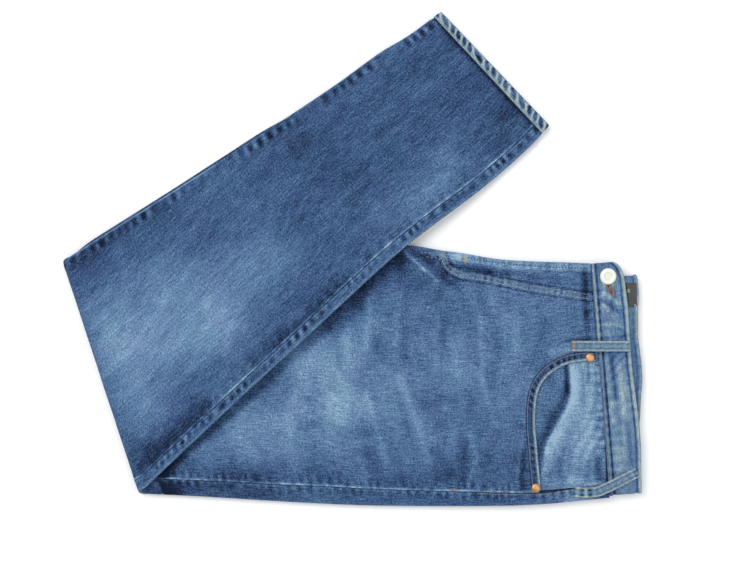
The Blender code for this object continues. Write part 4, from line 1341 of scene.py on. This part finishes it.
def sewn(length, gap, *lines):
    # Stitches along lines drawn from above: both ends of each, and the way it faces
    made = []
    for line in lines:
        line = np.asarray(line, float)[:, :2]
        count = max(int(runs(line)[-1] / (length + gap)), 1)
        marks = evenly(line, count * stitch["marks"] + 1)
        reach = round(stitch["marks"] * length / (length + gap))
        for k in range(0, count * stitch["marks"], stitch["marks"]):
            start, normal = surfaceAt(*marks[k])
            end, endNormal = surfaceAt(*marks[k + reach])
            if abs(start[2] - end[2]) < stitch["jump"]:
                ends = start + stitch["lift"] * normal, end + stitch["lift"] * endNormal
                made.append((*ends, normal + endNormal))
    return made


def tacked(middle, along, length, width, rows, lift=0.15):
    # A bar tack: close stitches side by side across a short line
    along = unit(np.array(along, float))
    aside = leftward(along)
    made = []
    for k in range(rows):
        at = np.array(middle) + along * length * ((k + 0.5) / rows - 0.5)
        sway = 0.12 * width * (1 if k % 2 else -1)
        ends = [surfaceAt(*(at + aside * (width * side / 2 + sway)))[0] for side in (-1, 1)]
        normal = surfaceAt(*at)[1]
        height = max(ends[0][2], ends[1][2])
        for end in ends:
            end[2] = max(end[2], height - 0.8)
        made.append((ends[0] + lift * normal, ends[1] + lift * normal, normal))
    return made


def sew(name, made, thick, material):
    points, faces = [], []
    for k, (start, end, normal) in enumerate(made):
        along = unit(end - start)
        side = unit(np.cross(normal, along))
        axes = np.array([(end - start), side * thick, np.cross(along, side) * thick])
        points.append(stitchPoints @ axes + (start + end) / 2)
        faces.extend([v + k * len(stitchPoints) for v in face] for face in stitchFaces)
    return dress(makeMesh(name, np.vstack(points), faces), material, "denim_seam")


def bandLine(first, last, fromSeam=None, fromTop=None, isBack=0.0):
    # A line along the waistband, from above: at a distance from its lower seam or from its top
    v = np.linspace(first, last, 60)
    top = lookUp(band["widths"], v) + isBack * lookUp(band["backRise"], v)
    at = fold["seamGap"] + (fromSeam if fromTop is None else top - fromTop)
    return np.array([waist.plan(a)[0] + waistOut * b for a, b in zip(v, at + 0 * v)])


def hemLine(fromEnd):
    station = shinStation(1 - fromEnd / shinLength, fold["hemStack"])
    return station.plan(np.linspace(2.0, station.width - 2.0, 40))


def seamLine(first, last, aside):
    # Along the side seam of the thigh, from one share of its length to another
    shares = np.linspace(first, last, 80)
    stations = [thighStation(share) for share in shares]
    return np.array([s.plan(s.width - s.seam() + aside)[0] for s in stations])


# Each piece of sewing: its thread, how thick, rows of stitches (length, gap, lines), and bar tacks
# (middle, direction, length, width, threads)
sewing = (
    ("hem_stitching", ecruThread, 0.6, [(2.2, 0.9, hemLine(10.6), hemLine(8.0))], []),
    ("waist_stitching", ecruThread, 0.72, [
        (2.1, 0.9, bandLine(2, 84, fromSeam=2.0), bandLine(6, 236, fromTop=2.0)),
        (1.9, 1.6, ((70, 6.4), (76, 6.4), (84, 4.0), (94, 3.4))),
        (1.6, 2.0, ((76, 2.2), (85, 1.4), (92, -1.6))),
        (2.6, 0.2, bandLine(53, 80, fromTop=1.3, isBack=1)),
        (2.2, 0.2, bandLine(54, 79, fromTop=2.2, isBack=1)),
        (2.0, 1.1, *[beside(line, aside)[3:-3] for line in (frontLoopLine, sideLoopLine)
                     for aside in (-4.1, 4.1)]),
        (*stitch["long"], beside(flyLine, -2.0)),
    ], [((283.3, -33), (0, 1), 4.2, 3.6, 6), ((290.3, -47.6), (0, 1), 1.8, 1.6, 3)]),
    ("seam_stitching", tanThread, 0.74, [
        (*stitch["long"], beside(flyLine, 2.0)),
        (2.4, 0.8, mouthLine(2.7, 247, -237), mouthLine(7.9, 247, -237)),
        (2.4, 0.7, seamLine(0.005, 0.286, 1.3)),
        (2.1, 0.9, bandLine(85, 236, fromSeam=2.0)),
    ], []),
    ("edge_stitching", navyThread, 1.1, [
        (1.6, 1.5, ((118, 1.0), (145.6, -3.4), (179.8, -7.0), (212, -8.6), (243, -9.6))),
    ], []),
    ("bar_tacks", orangeThread, 0.55, [(2.6, 0.25, bandLine(24, 170, fromTop=0.6, isBack=1))],
     [((104, -238), (1, 0.05), 5.5, 1.6, 9), ((226.6, -88.6), (0, 1), 9.5, 3.6, 13)]),
    ("fly_tacks", yellowThread, 0.5, [],
     [((114.8, -0.6), (0.35, -1), 8.0, 2.2, 12), ((93.4, 3.4), (0.7, -0.7), 5.5, 1.6, 8)]),
)
ecruStitches, paleStitches, tanStitches, navyStitches, orangeTacks, yellowTacks = [
    sew(name, [one for row in rows for one in sewn(*row)] + [one for tack in tacks for one in tacked(*tack)],
        thick, thread) for name, thread, thick, rows, tacks in sewing]
print("stitching sewn")


# Keyhole buttonhole below the button: a slot with a round eye, worked all round with thread

keyhole = dict(eye=(262.3, -25.5), tail=(266.6, -36.6), eyeRadius=1.9, tailRadius=0.55, purl=1.5)


def keyholeEdge(grown=0.0):
    # The outline of the slot: round its eye, and drawn in to its tail
    eye, tail = np.array(keyhole["eye"]), np.array(keyhole["tail"])
    way = unit(tail - eye)
    aside = leftward(way)
    outline = []
    for middle, radius, first, last in ((eye, keyhole["eyeRadius"], 60, 300),
                                        (tail, keyhole["tailRadius"], -90, 90)):
        for turn in np.radians(np.linspace(first, last, 9)):
            outline.append(middle + (way * math.cos(turn) + aside * math.sin(turn)) * (radius + grown))
    return np.array(outline + outline[:1])


def buttonhole():
    inner, outer = evenly(keyholeEdge(), 42), evenly(keyholeEdge(keyhole["purl"]), 42)
    made = []
    for start, end in zip(inner, outer):
        base, normal = surfaceAt(*start)
        tip, _ = surfaceAt(*end)
        made.append((base + 0.3 * normal, tip + 0.2 * normal, normal))
    return made


def slotShade():
    # Painted shade for the slot's depth: a thin dark shape just over the cloth
    rim = evenly(keyholeEdge(0.35), 33)[:-1]
    middle = rim.mean(axis=0)
    rings = [[(*spot, surfaceAt(*spot)[0][2] + lift, 0.5) for spot in middle + (rim - middle) * share]
             for share, lift in ((1.0, -0.3), (1.0, 0.05), (0.5, 0.1), (0.5, -0.3))]
    return sweep("buttonhole_slot_shade", rings, slotShadeFinish, "denim_seam", sewable=False)


slotShadeFinish = threadFinish("dark inside of the buttonhole", tint(34, 40, 52), tint(20, 24, 34))
slotShadePiece = slotShade()
worked = sew("buttonhole_thread", buttonhole(), 0.75, orangeThread)
print("buttonhole worked")


# Button and rivets, turned from cylinders

def selectFaces(obj, test):
    bpy.ops.object.mode_set(mode="OBJECT")
    for vertex in obj.data.vertices:
        vertex.select = False
    for edge in obj.data.edges:
        edge.select = False
    for face in obj.data.polygons:
        face.select = bool(test(face))
    bpy.ops.object.mode_set(mode="EDIT")


def stepped(name, radius, height, steps, place, sides=48):
    # A cylinder whose top is inset and raised step by step: width of each step, and its rise
    bpy.ops.object.select_all(action="DESELECT")
    bpy.ops.mesh.primitive_cylinder_add(vertices=sides, radius=radius * mm, depth=height * mm,
                                        location=(0, 0, height * mm / 2))
    obj = bpy.context.object
    obj.name = obj.data.name = name
    bpy.ops.object.mode_set(mode="EDIT")
    bpy.ops.mesh.select_mode(type="FACE")
    selectFaces(obj, lambda face: face.normal.z > 0.9)
    for inset, rise in steps:
        bpy.ops.mesh.inset(thickness=inset * mm)
        bpy.ops.transform.translate(value=(0, 0, rise * mm))
    bpy.ops.mesh.select_all(action="SELECT")
    bpy.ops.transform.translate(value=[c * mm for c in place])
    bpy.ops.object.mode_set(mode="OBJECT")
    bevel = obj.modifiers.new("Rounded", "BEVEL")
    bevel.width, bevel.segments, bevel.limit_method = 0.18 * mm, 2, "ANGLE"
    bpy.ops.object.modifier_apply(modifier=bevel.name)
    obj.location = (0, 0, 0)
    bpy.ops.object.transform_apply(location=True, rotation=True, scale=True)
    bpy.ops.object.shade_smooth_by_angle(angle=math.radians(40))
    return obj


def metalFinish(name, colour, dark, metallic, roughness):
    finish = Finish(name, Metallic=metallic)
    place = finish.node("ShaderNodeTexCoord", out="Object")
    blotch = noise(finish, place, 420.0, 4.0)
    scratch = noise(finish, place, 2600.0)
    return finish.feed(Base_Color=mixed(finish, blotch * 1.8 - 0.4, tint(*dark), tint(*colour)),
                       Roughness=blotch * 0.2 + (roughness - 0.1), Normal=bumped(finish, scratch, 0.25, 0.1))


button = dict(
    place=(262, -18),
    radius=8.4,
    height=1.3,
    steps=(
        (0.5, 0.5), (0.5, 0.45), (0.8, 0.4), (1.3, 0.2), (0.9, -0.35), (0.7, -0.45), (0.6, -0.1),
        (0.4, 0.12), (0.4, -0.12), (1.2, -0.03)),
    hollow=4.2,
)
buttonPiece = stepped("front_button", button["radius"], button["height"], button["steps"],
                      (*button["place"], topAround(*button["place"], 4) + 0.3), 64)
dress(buttonPiece, metalFinish("white enamel button", (236, 238, 226), (214, 219, 204), 0.1, 0.35),
      "button_enamel", "waist_button")
buttonPiece.data.materials.append(
    metalFinish("enamel of the button's hollow", (226, 229, 212), (200, 206, 188), 0.1, 0.4))
for face in buttonPiece.data.polygons:
    fromMiddle = np.linalg.norm(np.array(face.center[:2]) - np.array(button["place"]) * mm)
    face.material_index = int(fromMiddle < button["hollow"] * mm)

rivets = dict(
    radius=4.7,
    height=0.5,
    steps=((0.3, 0.42), (0.5, 0.34), (0.7, 0.26), (0.9, 0.17), (0.9, 0.07), (0.7, 0.01)),
    metal=metalFinish("copper rivet", (214, 170, 122), (164, 114, 74), 0.8, 0.4),
)
for name, (x, y), node in (("rivet_at_waist", (243.5, -101.5), "rivet_waist"),
                           ("rivet_at_side", (188, -235.4), "rivet_side")):
    place = (x, y, topAround(x, y, 3.0) + 0.1)
    rivet = stepped(name, rivets["radius"], rivets["height"], rivets["steps"], place, 40)
    dress(rivet, rivets["metal"], "rivet_copper", node)
print("button and rivets made")


# Floor, light and camera

studio = dict(
    scale=1.03,  # millimetres to a pixel of a picture 750 wide, at the height of the cloth
    pictureWidth=750,
    centre=(22.7, -22.7),
    above=1450.0,
    cloth=10.0,
    sensor=36.0,
    # Name, place, size and power, in metres and watts
    lights=(("key light", (-0.8, 0.8, 2.0), 1.5, 29), ("fill light", (0.9, -0.2, 2.2), 1.8, 12)),
    sky=(0.96, 0.98, 1.0, 1),
    skyStrength=0.66,
)


def floor():
    bpy.ops.mesh.primitive_plane_add(size=6.0, location=(0, 0, 0))
    obj = bpy.context.object
    obj.name = "floor"
    finish = Finish("white floor", Roughness=0.9, Specular_IOR_Level=0.1)
    place = finish.node("ShaderNodeTexCoord", out="Object")
    shade = mixed(finish, noise(finish, place, 3.0), (0.93, 0.93, 0.925, 1), (0.96, 0.96, 0.96, 1))
    obj.data.materials.append(finish.feed(Base_Color=shade))


def softLight(name, place, size, power):
    lamp = bpy.data.lights.new(name, "AREA")
    lamp.shape, lamp.size, lamp.energy = "DISK", size, power
    obj = bpy.data.objects.new(name, lamp)
    bpy.context.scene.collection.objects.link(obj)
    obj.location = place
    obj.rotation_euler = (-Vector(place)).to_track_quat("-Z", "Y").to_euler()
    obj.visible_camera = False


floor()
for light in studio["lights"]:
    softLight(*light)
world = bpy.data.worlds.new("studio")
bpy.context.scene.world = world
world.use_nodes = True
sky = world.node_tree.nodes["Background"]
sky.inputs["Color"].default_value = studio["sky"]
sky.inputs["Strength"].default_value = studio["skyStrength"]
bpy.context.scene.view_settings.view_transform = "Standard"

camera = bpy.data.objects.new("camera", bpy.data.cameras.new("camera"))
bpy.context.scene.collection.objects.link(camera)
camera.location = Vector((*studio["centre"], studio["above"] + studio["cloth"])) * mm
camera.data.sensor_width = studio["sensor"]
camera.data.lens = studio["sensor"] * studio["above"] / (studio["scale"] * studio["pictureWidth"])
camera.data.clip_end = 20.0
bpy.context.scene.camera = camera
print("camera and light set")
